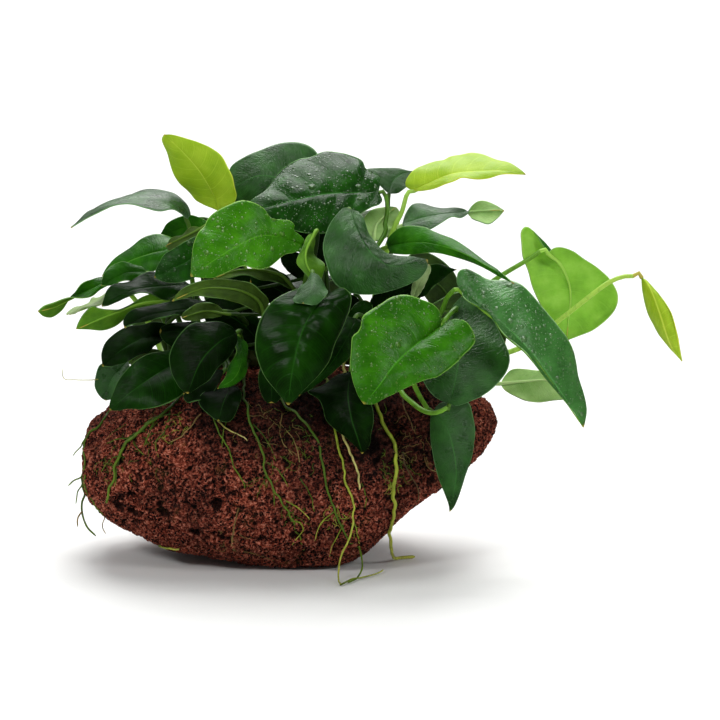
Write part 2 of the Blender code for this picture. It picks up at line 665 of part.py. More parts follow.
def petiole_course(leaf, start, outward, frames):
    """The petiole's axis, from the rhizome to the blade, which it meets in line with the spine."""
    base, ahead = frames[0][0], frames[0][1]
    if "stem" in leaf:
        passed = [mm(p) for p in leaf["stem"]]
        course = [start, start + 4 * MM * outward, *passed, base - 3 * MM * ahead, base]
        return smooth_course(course, 2 * PETIOLE_RINGS)
    span = (base - start).length
    lead_in = min(0.3 * span, PETIOLE_LEAD_IN)
    handles = start, start + PETIOLE_RISE * span * outward, base - lead_in * ahead, base
    path = []
    for ring in range(PETIOLE_RINGS + 1):
        t = ring / PETIOLE_RINGS
        weights = ((1 - t) ** 3, 3 * t * (1 - t) ** 2, 3 * t * t * (1 - t), t**3)
        path.append(sum((w * p for w, p in zip(weights, handles)), Vector()))
    return path


def petiole_shape(path, across, ahead):
    """The petiole's rings of six vertices, turned so that the last one lies along the blade."""
    tangents = tangents_of(path)
    tangents[-1] = ahead
    sides = [(across - ahead * across.dot(ahead)).normalized()]
    for ring in range(len(path) - 2, -1, -1):
        sides.insert(0, tangents[ring + 1].rotation_difference(tangents[ring]) @ sides[0])
    vertices, faces = [], [(0, 1, 2, 3, 4, 5)]
    for ring, (point, side, tangent) in enumerate(zip(path, sides, tangents)):
        upper = side.cross(tangent)
        radius = PETIOLE_RADIUS * float(np.interp(ring / (len(path) - 1), (0, 1), PETIOLE_TAPER))
        for degrees in (150, 90, 30, -30, -90, -150):
            angle = math.radians(degrees)
            vertices.append(point + radius * (math.cos(angle) * side + math.sin(angle) * upper))
        if ring:
            for k in range(6):
                here, there = ring * 6 + k, ring * 6 + (k + 1) % 6
                faces.append((here - 6, there - 6, there, here))
    return vertices, faces


def blade_shape(leaf, frames, halves):
    """The blade's rows of eight vertices: margin, three of the upper skin, margin, three below."""
    vertices = []
    for row in BLADE_ROWS:
        far_left, left, rib, right, far_right = [
            blade_point(leaf, frames, halves, row, u) for u in (-1, -0.5, 0, 0.5, 1)
        ]
        lift = frames[row][4] * BLADE_THICKNESS / 2
        rib_lift = RIB_THICKENING * lift
        vertices += [far_left, left + lift, rib + rib_lift, right + lift]
        vertices += [far_right, right - lift, rib - rib_lift, left - lift]
    faces = []
    for step in range(len(BLADE_ROWS) - 1):
        for k in range(8):
            here, there = 8 * step + k, 8 * step + (k + 1) % 8
            faces.append((here, there, there + 8, here + 8))
    tip = len(vertices)
    faces += [(tip - 8 + k, tip - 8 + (k + 1) % 8, tip) for k in range(8)]
    vertices.append(frames[-1][0])
    return vertices, faces


def leaf_shape(leaf, start, outward):
    """One leaf: a petiole of six sides that opens into a blade of two skins."""
    frames, halves = blade_frames(leaf)
    _, ahead, left, right, _ = frames[0]
    path = petiole_course(leaf, start, outward, frames)
    vertices, faces = petiole_shape(path, (right - left).normalized(), ahead)
    blade_vertices, blade_faces = blade_shape(leaf, frames, halves)
    row = len(vertices)
    ring = row - 6
    vertices += blade_vertices
    faces += [tuple(row + k for k in face) for face in blade_faces]
    # Six vertices of the petiole to eight of the blade: each margin's vertex takes two triangles
    faces += [(ring, row, row + 1), (ring + 5, row, ring), (ring + 5, row + 7, row)]
    faces += [(ring + 2, row + 3, row + 4), (ring + 2, row + 4, ring + 3), (ring + 3, row + 4, row + 5)]
    for k, far in ((0, 1), (1, 2), (3, 5), (4, 6)):
        faces.append((ring + k, row + far, row + far + 1, ring + k + 1))
    return vertices, faces


def leaf_starts(axis):
    """Where each leaf's petiole leaves the rhizome, and in which direction."""
    starts = {}
    for rank, degrees in RANKS.items():
        names = [name for name, leaf in LEAVES.items() if leaf["rank"] == rank]
        for k, name in enumerate(names):
            share = (k + 0.5) / len(names)
            lean = math.radians(degrees + (RANK_ZIGZAG if k % 2 else -RANK_ZIGZAG))
            spread = FAN * (share - 0.5)
            outward = Vector((spread, -math.sin(lean), math.cos(lean))).normalized()
            reach = RHIZOME_RADIUS + BUD_HEIGHT + GAP
            starts[name] = (along_rhizome(axis, share) + reach * outward, outward)
    return starts


# The roots


def root_course(start, points, stone, axis):
    """A root's axis, from the rhizome's front over the stone."""
    nearest = min(axis, key=lambda point: abs(point.x - start * MM))
    leaving = Vector((0, -math.cos(ROOT_DROP), -math.sin(ROOT_DROP)))
    first = Vector((start * MM, nearest.y, nearest.z))
    course = [first + (RHIZOME_RADIUS + 1.3 * ROOT_RADIUS + GAP) * leaving]
    for point in points:
        if len(point) == 2:
            before_the_stone = Vector((point[0] * MM, -STONE_LENGTH, point[1] * MM))
            course.append(stone.ray_cast(before_the_stone, Vector((0, 1, 0)))[0])
        else:
            course.append(mm(point))
    length = sum((b - a).length for a, b in zip(course, course[1:]))
    return smooth_course(course, max(4, round(length / ROOT_STEP)))


def clear_of_stone(path, stone, rounds=6):
    """The path moved out of the stone's skin, and never lower than the surface it lies on."""
    clear = ROOT_RADIUS * ROOT_TAPER[0] + GAP
    for _ in range(rounds):
        lift = [Vector() for _ in path]
        for k in range(len(path) - 1):
            for share in (0.0, 0.33, 0.67, 1.0):
                point = path[k].lerp(path[k + 1], share)
                near, normal, _, distance = stone.find_nearest(point)
                inside = (point - near).dot(normal) < 0
                short = clear + distance if inside else clear - distance
                for end in (k, k + 1):
                    if short > lift[end].length:
                        lift[end] = normal * short
        path = [point + move for point, move in zip(path, lift)]
    floor = ROOT_RADIUS + GAP
    return [Vector((point.x, point.y, max(point.z, floor))) for point in path]


def root_shape(start, points, stone, axis):
    """A root that tapers from the rhizome to its tip."""
    path = clear_of_stone(root_course(start, points, stone, axis), stone)
    shares = np.linspace(*ROOT_TAPER, len(path))
    return tube(path, [ROOT_RADIUS * float(share) for share in shares], ROOT_SIDES)


def main():
    """Clear the scene and build every piece."""
    for old in list(bpy.data.objects):
        bpy.data.objects.remove(old, do_unlink=True)
    rock = material("lava rock", (0.16, 0.055, 0.042), 0.92)
    bark = material("rhizome skin", (0.10, 0.15, 0.03), 0.55)
    root_skin = material("root skin", (0.16, 0.22, 0.05), 0.5)
    stone_vertices, stone_faces = stone_shape()
    add_object("stone", stone_vertices, stone_faces, rock)
    stone = surface_of(stone_vertices, stone_faces)
    axis = rhizome_course(stone)
    add_object("rhizome", *rhizome_shape(axis), bark)
    tones = {name: material(name, colour, 0.28) for name, colour in LEAF_TONES.items()}
    starts = leaf_starts(axis)
    for name, leaf in LEAVES.items():
        shape = leaf_shape(leaf, *starts[name])
        add_object("leaf_" + name, *shape, tones[leaf.get("tone", "mature leaf")])
    for name, (start, points) in ROOTS.items():
        add_object("root_" + name, *root_shape(start, points, stone, axis), root_skin)


main()
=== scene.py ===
# Looks for an anubias that grows on a porous lava rock. Metres, +Z up, seen from -Y.
import json
import math
import random

import bpy
import numpy as np
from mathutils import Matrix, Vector, noise
from mathutils.bvhtree import BVHTree


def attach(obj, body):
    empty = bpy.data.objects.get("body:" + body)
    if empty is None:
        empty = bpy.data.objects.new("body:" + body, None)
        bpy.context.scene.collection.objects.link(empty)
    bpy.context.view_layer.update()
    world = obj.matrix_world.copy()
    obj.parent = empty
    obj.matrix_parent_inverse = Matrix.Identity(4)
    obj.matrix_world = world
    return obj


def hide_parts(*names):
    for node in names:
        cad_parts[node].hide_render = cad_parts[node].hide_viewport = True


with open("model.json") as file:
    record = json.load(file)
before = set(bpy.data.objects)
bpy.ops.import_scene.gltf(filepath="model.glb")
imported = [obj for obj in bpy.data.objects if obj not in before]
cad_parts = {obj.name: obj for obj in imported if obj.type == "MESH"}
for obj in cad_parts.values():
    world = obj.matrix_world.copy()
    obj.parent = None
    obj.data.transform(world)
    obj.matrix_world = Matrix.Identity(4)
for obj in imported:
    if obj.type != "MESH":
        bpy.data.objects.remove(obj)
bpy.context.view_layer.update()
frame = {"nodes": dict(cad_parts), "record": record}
cadNodes = frame["nodes"]
print("frame loaded:", len(cadNodes), "nodes")


def mm(point):
    return Vector(point) * 0.001


def linear(hexText):
    # an sRGB hex colour as linear red, green, blue, alpha
    parts = [int(hexText[k: k + 2], 16) / 255 for k in (1, 3, 5)]
    return [c / 12.92 if c <= 0.04045 else ((c + 0.055) / 1.055) ** 2.4 for c in parts] + [1.0]


def smoothCourse(points, count):
    # evenly spaced points along a smooth curve through the given ones
    padded = [2 * points[0] - points[1], *points, 2 * points[-1] - points[-2]]
    dense, substeps = [], 16
    for a, b, c, d in zip(padded, padded[1:], padded[2:], padded[3:]):
        for t in (k / substeps for k in range(substeps)):
            bend = (2 * a - 5 * b + 4 * c - d) * t**2 + (3 * b - a - 3 * c + d) * t**3
            dense.append(0.5 * (2 * b + (c - a) * t + bend))
    dense.append(points[-1])
    lengths = np.cumsum([0.0] + [(q - p).length for p, q in zip(dense, dense[1:])])
    wanted = np.linspace(0.0, lengths[-1], count)
    return [Vector(p) for p in zip(*(np.interp(wanted, lengths, [q[k] for q in dense]) for k in range(3)))]


def lengthOf(path):
    # in millimetres
    return sum((b - a).length for a, b in zip(path, path[1:])) * 1000


def tangentsOf(path):
    return [(b - a).normalized() for a, b in zip(path[:1] + path[:-1], path[1:] + path[-1:])]


def surfaceOf(mesh):
    return BVHTree.FromPolygons([v.co for v in mesh.vertices], [tuple(p.vertices) for p in mesh.polygons])


def storeNumbers(mesh, name, values):
    # one number per vertex, for the materials to read
    layer = mesh.attributes.new(name, "FLOAT", "POINT")
    layer.data.foreach_set("value", np.asarray(values, dtype=np.float32))


def selectOnly(*pieces):
    # the first one becomes the active object
    bpy.ops.object.select_all(action="DESELECT")
    for piece in pieces:
        piece.select_set(True)
    bpy.context.view_layer.objects.active = pieces[0]


def addStrand(points, radii, sides):
    # a stem or root: a path whose radius follows the plant, turned into a mesh
    thickest = max(radii)
    bpy.ops.curve.primitive_nurbs_path_add()
    strand = bpy.context.object
    spline = strand.data.splines[0]
    spline.type = "POLY"
    spline.points.add(len(points) - len(spline.points))
    for place, point, radius in zip(spline.points, points, radii):
        place.co = (*point, 1.0)
        place.radius = radius / thickest
    strand.data.bevel_depth = thickest
    strand.data.bevel_resolution = sides // 2 - 2   # gives the section that many sides
    strand.data.use_fill_caps = True
    bpy.ops.object.convert(target="MESH")
    strand = bpy.context.object
    rings = np.arange(len(strand.data.vertices)) // sides
    storeNumbers(strand.data, "along", np.clip(rings / (len(points) - 1), 0, 1))
    strand.data.shade_smooth()
    return strand


def joinPieces(pieces, name):
    selectOnly(*pieces)
    bpy.ops.object.join()
    joined = bpy.context.object
    joined.name = joined.data.name = name
    return joined


def pieceName(node):
    # root_left_edge becomes rootLeftEdge
    first, *others = node.split("_")
    return first + "".join(word.capitalize() for word in others)


def handOver(piece, slot, *nodes):
    # the piece moves with the plant and stands for these CAD nodes
    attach(piece, "root")
    if nodes:
        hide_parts(*nodes)


# Camera, light and floor
studio = dict(
    lens=125, sensor=36, distance=1.096, elevation=8.5, lookAt=(0.031, 0.0, 0.086),
    lights=dict(   # place, size in metres, watts
        overhead=((0.05, 0.10, 1.05), 0.40, 3.8),
        frontLeft=((-0.70, -0.95, 0.85), 0.28, 6.6),
        frontRight=((0.90, -0.75, 0.65), 0.28, 4.4),
        backdropWash=((0.0, 1.7, 2.3), 2.2, 80),
    ),
    lightsAimAt=(0.02, 0, 0.09), ambient="#E9EDF0", ambientStrength=0.22, floor=("#F4F4F2", "#F7F7F5"),
    # a seamless sweep: flat from the front to the back, then a quarter circle, then a wall
    backdrop=dict(front=4, back=1.6, bend=0.9, wall=2.6, width=7.0, rows=80),
)


def addCamera():
    lookAt = Vector(studio["lookAt"])
    rise = math.radians(studio["elevation"])
    bpy.ops.object.camera_add(
        location=lookAt + studio["distance"] * Vector((0, -math.cos(rise), math.sin(rise))),
        rotation=(math.pi / 2 - rise, 0, 0),
    )
    camera = bpy.context.object
    camera.data.lens, camera.data.sensor_width = studio["lens"], studio["sensor"]
    bpy.context.scene.camera = camera


def addLights():
    for name, (place, size, watts) in studio["lights"].items():
        aim = (Vector(studio["lightsAimAt"]) - Vector(place)).to_track_quat("-Z", "Y").to_euler()
        bpy.ops.object.light_add(type="AREA", location=place, rotation=aim)
        lamp = bpy.context.object
        lamp.name, lamp.data.size, lamp.data.energy = name, size, watts
    world = bpy.context.scene.world or bpy.data.worlds.new("studio")
    bpy.context.scene.world = world
    world.use_nodes = True
    sky = world.node_tree.nodes["Background"].inputs
    sky["Color"].default_value = linear(studio["ambient"])
    sky["Strength"].default_value = studio["ambientStrength"]
    bpy.context.scene.view_settings.view_transform = "Standard"


def addFloor(sweep):
    bpy.ops.mesh.primitive_grid_add(x_subdivisions=2, y_subdivisions=sweep["rows"], size=2)
    floor = bpy.context.object
    floor.name = "floor"
    flat = sweep["front"] + sweep["back"]
    quarter = sweep["bend"] * math.pi / 2
    for vertex in floor.data.vertices:
        share = (vertex.co.y + 1) / 2
        far = share * (flat + quarter + sweep["wall"]) - flat
        turn = min(max(far, 0.0), quarter) / sweep["bend"]
        vertex.co = (vertex.co.x * sweep["width"] / 2,
                     sweep["back"] + min(far, 0.0) + sweep["bend"] * math.sin(turn),
                     sweep["bend"] * (1 - math.cos(turn)) + max(far - quarter, 0.0))
    floor.data.shade_smooth()
    floor.visible_glossy = False   # wet leaves mirror the lamps, not the white sweep
    return floor


addCamera()
addLights()
floor = addFloor(studio["backdrop"])
print("camera, lights and floor made")


def addNode(tree, kind, settings):
    # settings name a choice or an input; an input takes a value or another node's output
    node = tree.nodes.new("ShaderNode" + kind)
    for key, value in settings.items():
        if key == "stops":
            for k, (place, colour) in enumerate(value):
                stop = node.color_ramp.elements[k] if k < 2 else node.color_ramp.elements.new(place)
                stop.position, stop.color = place, linear(colour)
        elif isinstance(value, bpy.types.NodeSocket):
            tree.links.new(value, node.inputs[key])
        elif isinstance(key, str) and hasattr(node, key):
            setattr(node, key, value)
        else:
            node.inputs[key].default_value = value
    return node


# The nodes that the materials use most; each gives back its output
def attributeOf(tree, name):
    return addNode(tree, "Attribute", {"attribute_name": name}).outputs["Fac"]


def noiseOf(tree, place, scale, detail, roughness=0.5, output="Fac"):
    settings = {"Scale": scale, "Detail": detail, "Roughness": roughness, "Vector": place}
    return addNode(tree, "TexNoise", settings).outputs[output]


def rampOf(tree, value, stops):
    return addNode(tree, "ValToRGB", {"stops": stops, "Fac": value}).outputs["Color"]


def calc(tree, operation, a, b=0.0):
    return addNode(tree, "Math", {"operation": operation, 0: a, 1: b}).outputs[0]


def remap(tree, value, low, high, top=1.0, bottom=0.0, curve="LINEAR"):
    # low becomes bottom and high becomes top, and nothing goes past them
    return addNode(tree, "MapRange", {
        "interpolation_type": curve, "Value": value, "From Min": low, "From Max": high,
        "To Min": bottom, "To Max": top,
    }).outputs[0]


def blend(tree, share, under, over):
    # a hex colour over another node's colour
    return addNode(tree, "Mix", {"data_type": "RGBA", 0: share, 6: under, 7: linear(over)}).outputs[2]


def relief(tree, height, distance, under=None, strength=1.0, invert=False):
    # a bump that many metres high, on top of the bumps under it
    settings = {"invert": invert, "Strength": strength, "Distance": distance, "Height": height}
    if under is not None:
        settings["Normal"] = under
    return addNode(tree, "Bump", settings).outputs["Normal"]


def warped(tree, place, colour, reach):
    # the place moved by a noise's colour, up to reach metres along each axis
    return addNode(tree, "VectorMath", {
        "operation": "MULTIPLY_ADD", 0: colour, 1: (reach, reach, reach), 2: place,
    }).outputs[0]


def newMaterial(name, sockets):
    # a plain Principled shader with its constant values set on its own sockets
    made = bpy.data.materials.new(name)
    made.use_nodes = True
    tree = made.node_tree
    shader = tree.nodes["Principled BSDF"]
    for key, value in sockets.items():
        shader.inputs[key].default_value = value
    return made, tree, shader, addNode(tree, "TexCoord", {}).outputs["Object"]


def feed(tree, shader, outputs):
    for key, output in outputs.items():
        tree.links.new(output, shader.inputs[key])


def floorLaminate(tones):
    # Matt white laminate, rolled: a soft even white under the plant
    made, tree, shader, place = newMaterial("floorLaminateMatt", {"Roughness": 0.6})
    tint = noiseOf(tree, place, 3.0, 2.0)
    feed(tree, shader, {"Base Color": rampOf(tree, tint, list(zip((0.3, 0.7), tones)))})
    return made


floor.data.materials.append(floorLaminate(studio["floor"]))

# Colours of a leaf's skin: shade, body and light make its mottling, then veins, midrib and rim.
# veinBump, pleat and beads are heights in millimetres, bare is how much drier the dry places are,
# and glow is how much light the flesh lets through.
leafSkins = dict(
    matureTop=dict(shade="#081C02", body="#0C2903", light="#143A05", vein="#174209", midrib="#1C480E",
                  rim="#55793F", roughness=0.13, specular=0.1, veinBump=0.05),
    # a darker copy of matureTop for leaves low and deep in the crown: painted shade
    deepTop=dict(shade="#051101", body="#071803", light="#0C2604", vein="#0F2A06", midrib="#163A0B",
                rim="#456936", roughness=0.13, specular=0.05, veinBump=0.04),
    # lighter than matureTop: partly its own paler green, partly painted sheen in the colour; its higher
    # gloss is real
    sheenTop=dict(shade="#16380C", body="#1F4E12", light="#2F661E", vein="#2B5E1C", midrib="#2E6820",
                 rim="#6C9A60", roughness=0.28, specular=0.5, veinBump=0.04, pleat=0.55),
    wetTop=dict(shade="#0C2A04", body="#133D07", light="#1F560D", vein="#1B4C0E", midrib="#235C14",
               rim="#5F8F4A", roughness=0.22, specular=0.12, veinBump=0.06, beads=0.26),
    lanceTop=dict(shade="#275A1B", body="#316B24", light="#458437", vein="#3E7A32", midrib="#4A8A3E",
                 rim="#8FBC7C", roughness=0.28, specular=0.5, veinBump=0.06, beads=0.26, bare=0.03,
                 pleat=0.4),
    freshTop=dict(shade="#265F04", body="#327006", light="#458C0B", vein="#3C820D", midrib="#4F941A",
                 rim="#8ABB55", roughness=0.24, specular=0.16, veinBump=0.08, beads=0.26, bare=0.03,
                 glow=0.06),
    heartTop=dict(shade="#1E5203", body="#286205", light="#397C0A", vein="#337408", midrib="#3F8812",
                 rim="#76A845", roughness=0.24, specular=0.14, veinBump=0.08, beads=0.26, glow=0.06),
    greenTop=dict(shade="#1A4806", body="#246009", light="#357810", vein="#397C16", midrib="#55922C",
                 rim="#76A84C", roughness=0.2, specular=0.14, veinBump=0.06, glow=0.05),
    limeTop=dict(shade="#88AD18", body="#97B81E", light="#A7C32C", vein="#B8D23A", midrib="#C2D948",
                rim="#CCDA42", roughness=0.42, specular=0.2, veinBump=0.08, glow=0.2),
    paleTop=dict(shade="#748F50", body="#869F62", light="#9CB27A", vein="#A6BA84", midrib="#B0C48E",
                rim="#AEC090", roughness=0.42, specular=0.25, veinBump=0.05, glow=0.1),
    matureUnder=dict(shade="#1E3307", body="#2C480E", light="#3F5F17", vein="#335413", midrib="#4A7020",
                    rim="#5F8A42", roughness=0.5, specular=0.25, veinBump=-0.05, glow=0.06),
    # a paler olive of its own, with the light that comes through the leaf partly painted into it
    oliveUnder=dict(shade="#2A4109", body="#3A5511", light="#4E701A", vein="#405E15", midrib="#567820",
                   rim="#708F3E", roughness=0.5, specular=0.25, veinBump=-0.05, glow=0.06),
    freshUnder=dict(shade="#3E6C0E", body="#548718", light="#70A32A", vein="#5E9320", midrib="#78A832",
                   rim="#8DB552", roughness=0.45, specular=0.25, veinBump=-0.05, glow=0.12),
    limeUnder=dict(shade="#70A628", body="#82BA34", light="#96C848", vein="#8BBF3E", midrib="#A0CC54",
                  rim="#A1CB58", roughness=0.45, specular=0.25, veinBump=-0.06, glow=0.2),
    paleUnder=dict(shade="#7CA452", body="#94B86A", light="#AACA7E", vein="#9CBE70", midrib="#AECB84",
                  rim="#B2CB84", roughness=0.5, specular=0.25, veinBump=-0.05, glow=0.2),
    budUnder=dict(shade="#7CA62C", body="#8CB13A", light="#A4C652", vein="#7FA934", midrib="#8FB843",
                 rim="#7C9A34", roughness=0.4, specular=0.3, veinBump=-0.12, glow=0.2),
)
# what each finish of leaf wears above, below and on its petiole
leafFinishes = dict(
    mature=("matureTop", "matureUnder", "dark"), deep=("deepTop", "matureUnder", "dark"),
    sheen=("sheenTop", "matureUnder", "dark"), wetSheen=("wetTop", "matureUnder", "green"),
    wetFresh=("freshTop", "freshUnder", "green"), heart=("heartTop", "freshUnder", "green"),
    lance=("lanceTop", "matureUnder", "green"), green=("greenTop", "freshUnder", "green"),
    lime=("limeTop", "limeUnder", "lime"), pale=("paleTop", "paleUnder", "lime"),
)
# the drops' sizes: spacing and widest radius in millimetres, and the share of them left out
drops = ((1.05, 0.46, 0.0), (2.0, 0.90, 0.1), (5.2, 1.9, 0.3))
dropRadius = 320   # a drop this wide, in thousandths of a millimetre, is as high as beads says


def leafSkin(name, shade, body, light, vein, midrib, rim, roughness, specular, veinBump, beads=0, bare=0.1,
             pleat=0.25, glow=0):
    # Living leaf, grown: a waxy cuticle over green flesh, soft mottling, veins that catch the light
    made, tree, shader, place = newMaterial(name, {
        "IOR": 1.45, "Specular IOR Level": specular, "Coat Weight": 0.0, "Coat Roughness": 0.16,
        "Coat IOR": 1.45, "Subsurface Weight": glow, "Subsurface Radius": (0.5, 1.0, 0.2),
        "Subsurface Scale": 0.0012,
    })
    across, along, rank = (attributeOf(tree, key) for key in ("across", "along", "vein"))
    out = calc(tree, "ABSOLUTE", across)   # 0 on the midrib, 1 on both margins
    # mottling about 9 mm across, with finer flecks in it
    cloud = noiseOf(tree, place, 110.0, 5.0, 0.55)
    skin = rampOf(tree, cloud, [(0.3, shade), (0.7, light), (0.5, body)])
    # the main side veins, then five fine ones between each pair, all fading towards the margin
    fineRank = calc(tree, "MULTIPLY", rank, 6.0)
    main = remap(tree, calc(tree, "PINGPONG", rank, 0.5), 0.07, 0.0, 0.55)
    fine = remap(tree, calc(tree, "PINGPONG", fineRank, 0.5), 0.30, 0.0, 0.18)
    veins = calc(tree, "MAXIMUM", main, fine)
    skin = blend(tree, calc(tree, "MULTIPLY", veins, remap(tree, out, 0.98, 0.75)), skin, vein)
    skin = blend(tree, remap(tree, out, 0.030, 0.012), skin, midrib)
    skin = blend(tree, remap(tree, out, 0.970, 0.99), skin, rim)
    # the very tip has dried to a yellow point
    skin = blend(tree, remap(tree, along, 0.975, 0.995, 0.8), skin, "#B9A548")
    gloss = remap(tree, cloud, 0.0, 1.0, roughness + 0.09, roughness - 0.07)
    # the cuticle's grain, 0.6 mm; its fine pleats along the side veins; the veins in relief
    grain = noiseOf(tree, place, 1700.0, 2.0)
    pleatAcross = calc(tree, "MULTIPLY", across, 6.0)
    pleatPlace = addNode(tree, "CombineXYZ", {"X": fineRank, "Y": pleatAcross}).outputs[0]
    pleats = noiseOf(tree, pleatPlace, 1.3, 4.0, 0.6)
    bump = relief(tree, grain, 0.00006, strength=0.25)
    bump = relief(tree, pleats, pleat / 1000, bump)
    bump = relief(tree, veins, abs(veinBump) / 1000, bump, invert=veinBump > 0)
    if beads:
        # water as a gloss on low domes, whose drops crowd in some places, about 20 mm across
        few = remap(tree, noiseOf(tree, place, 52.0, 2.0), 0.50, 0.34, bare)
        dropGlossAndShade = middle = 0.0
        for spacing, widest, dry in drops:
            cells = addNode(tree, "TexVoronoi", {"Scale": 1000 / spacing, "Vector": place}).outputs
            size = addNode(tree, "SeparateColor", {"Color": cells["Color"]}).outputs["Red"]
            width = calc(tree, "SUBTRACT", remap(tree, size, dry, 1.0, widest / spacing, 0.04), few)
            inside = calc(tree, "SUBTRACT", width, cells["Distance"])
            dome = remap(tree, inside, 0.0, 0.9 * widest / spacing, curve="SMOOTHERSTEP")
            bump = relief(tree, dome, beads * widest / dropRadius, bump)
            dropGlossAndShade = calc(tree, "MAXIMUM", remap(tree, inside, 0.0, 0.03), dropGlossAndShade)
            middle = calc(tree, "MAXIMUM", remap(tree, inside, 0.05, 0.13), middle)
        # under the gloss, painted shade darkens the flesh at a drop's edge and painted light brightens its
        # middle
        skin = blend(tree, calc(tree, "MULTIPLY", dropGlossAndShade, 0.5), skin, shade)
        skin = blend(tree, calc(tree, "MULTIPLY", middle, 0.36), skin, rim)
        feed(tree, shader, {"Coat Weight": calc(tree, "MULTIPLY", dropGlossAndShade, 0.4), "Coat Normal": bump})
    feed(tree, shader, {"Base Color": skin, "Roughness": gloss, "Normal": bump})
    return made


leafMaterials = {
    name: leafSkin("leaf" + name[0].upper() + name[1:], **look) for name, look in leafSkins.items()
}

# Stems and roots: from their start to their tip, then the darker flecks
strandSkins = dict(
    darkPetiole=dict(start="#2A3F10", middle="#2C4E0E", tip="#3F6A1A", fleck="#1C300A", roughness=0.4,
                    glow=0),
    greenPetiole=dict(start="#3C5E14", middle="#4E8014", tip="#6A9C2C", fleck="#2F520E", roughness=0.36,
                     glow=0.05),
    freshPetiole=dict(start="#4E7A1C", middle="#6A9E2C", tip="#7CAE3A", fleck="#4A761E", roughness=0.36,
                     glow=0.1),
    limePetiole=dict(start="#7FA63A", middle="#93BF44", tip="#A9CC52", fleck="#76A030", roughness=0.36,
                    glow=0.15),
    greenRoot=dict(start="#2E460C", middle="#3F5C0E", tip="#66801F", fleck="#2C400A", roughness=0.5,
                  glow=0),
    yellowRoot=dict(start="#3A4F10", middle="#8C9C2A", tip="#B6B64A", fleck="#5C6A1A", roughness=0.5,
                   glow=0.1),
    paleRoot=dict(start="#8A8440", middle="#A8A050", tip="#BCB46E", fleck="#74703A", roughness=0.5,
                 glow=0.05),
    tanRoot=dict(start="#5E4A26", middle="#7C6636", tip="#94804A", fleck="#4A3A20", roughness=0.6, glow=0),
    brownRoot=dict(start="#3F3120", middle="#5E4A2A", tip="#74603A", fleck="#2C2216", roughness=0.6,
                  glow=0),
    rhizomeSkin=dict(start="#4A3A20", middle="#4E5A22", tip="#6E8A32", fleck="#2A2414", roughness=0.5,
                    glow=0),
)


def strandSkin(name, start, middle, tip, fleck, roughness, glow):
    # Living stem or root, grown: a smooth moist skin with flecks drawn out along it
    made, tree, shader, place = newMaterial(name, {
        "IOR": 1.42, "Roughness": roughness, "Specular IOR Level": 0.3, "Coat Weight": 0.05,
        "Coat Roughness": 0.15, "Subsurface Weight": glow, "Subsurface Radius": (0.5, 1.0, 0.2),
        "Subsurface Scale": 0.0012,
    })
    skin = rampOf(tree, attributeOf(tree, "along"), [(0.0, start), (1.0, tip), (0.45, middle)])
    # flecks about 1.5 mm wide and three times as long
    drawn = addNode(tree, "Mapping", {"Scale": (1.0, 1.0, 0.35), "Vector": place}).outputs[0]
    speck = noiseOf(tree, drawn, 650.0, 3.0)
    skin = blend(tree, remap(tree, speck, 0.48, 0.72, 0.8), skin, fleck)
    feed(tree, shader, {"Base Color": skin, "Normal": relief(tree, speck, 0.0001, strength=0.6)})
    return made


strandMaterials = {name: strandSkin(name, **look) for name, look in strandSkins.items()}
print("leaf, stem and root materials made:", len(leafMaterials) + len(strandMaterials))


# The stone: lava rock, foamed by gas as it cooled, then broken and tumbled. It is a fine voxel
# copy of the CAD stone, with crumbs, grit and burst bubbles pressed into it. In millimetres.
stoneLook = dict(
    voxel=0.88, crumbs=(3.0, 1.3), grit=(1.3, 1.5),   # spacing and height
    pits=7000, pitRadius=(0.5, 1.6), pitSharpness=2.2, seed=7,
    bigPits=[((-73, -40, 28), 4.0), ((-53, -52, 27), 3.4), ((-67, -44, 26), 3.0), ((36, -52, 58), 5.0),
             ((5, -57, 14), 3.2), ((-30, -56, 33), 3.0), ((60, -36, 40), 3.2), ((-40, -52, 16), 2.8)],
    proud=0.35,   # what is higher than this over the CAD stone is pressed down to that share
    foot=0.4, footFacing=-0.7,   # the foot stays flat: below this height, facing down this much
    roundingPasses=4,
)
stoneNode = cadNodes["stone"]


def roundedCopy(node, look):
    # a merged copy of the CAD stone, rounded, with its faces remeshed into small even cells
    stone = node.copy()
    stone.data = node.data.copy()
    bpy.context.scene.collection.objects.link(stone)
    selectOnly(stone)
    bpy.ops.object.mode_set(mode="EDIT")
    bpy.ops.mesh.select_all(action="SELECT")
    bpy.ops.mesh.remove_doubles(threshold=0.00001)
    bpy.ops.object.mode_set(mode="OBJECT")
    smooth = stone.modifiers.new("round the facets", "SUBSURF")
    smooth.levels = smooth.render_levels = 2
    # rounding shrinks the lumps, so the corners go out until the round skin passes through them
    corners = [v.co.copy() for v in stone.data.vertices]
    for _ in range(look["roundingPasses"]):
        shell = stone.evaluated_get(bpy.context.evaluated_depsgraph_get()).data
        for vertex, corner, shrunk in zip(stone.data.vertices, corners, shell.vertices):
            vertex.co += corner - shrunk.co
        stone.data.update()
        bpy.context.view_layer.update()
    bpy.ops.object.modifier_apply(modifier=smooth.name)
    remesh = stone.modifiers.new("even cells", "REMESH")
    remesh.mode, remesh.voxel_size = "VOXEL", look["voxel"] / 1000
    bpy.ops.object.modifier_apply(modifier=remesh.name)
    return stone


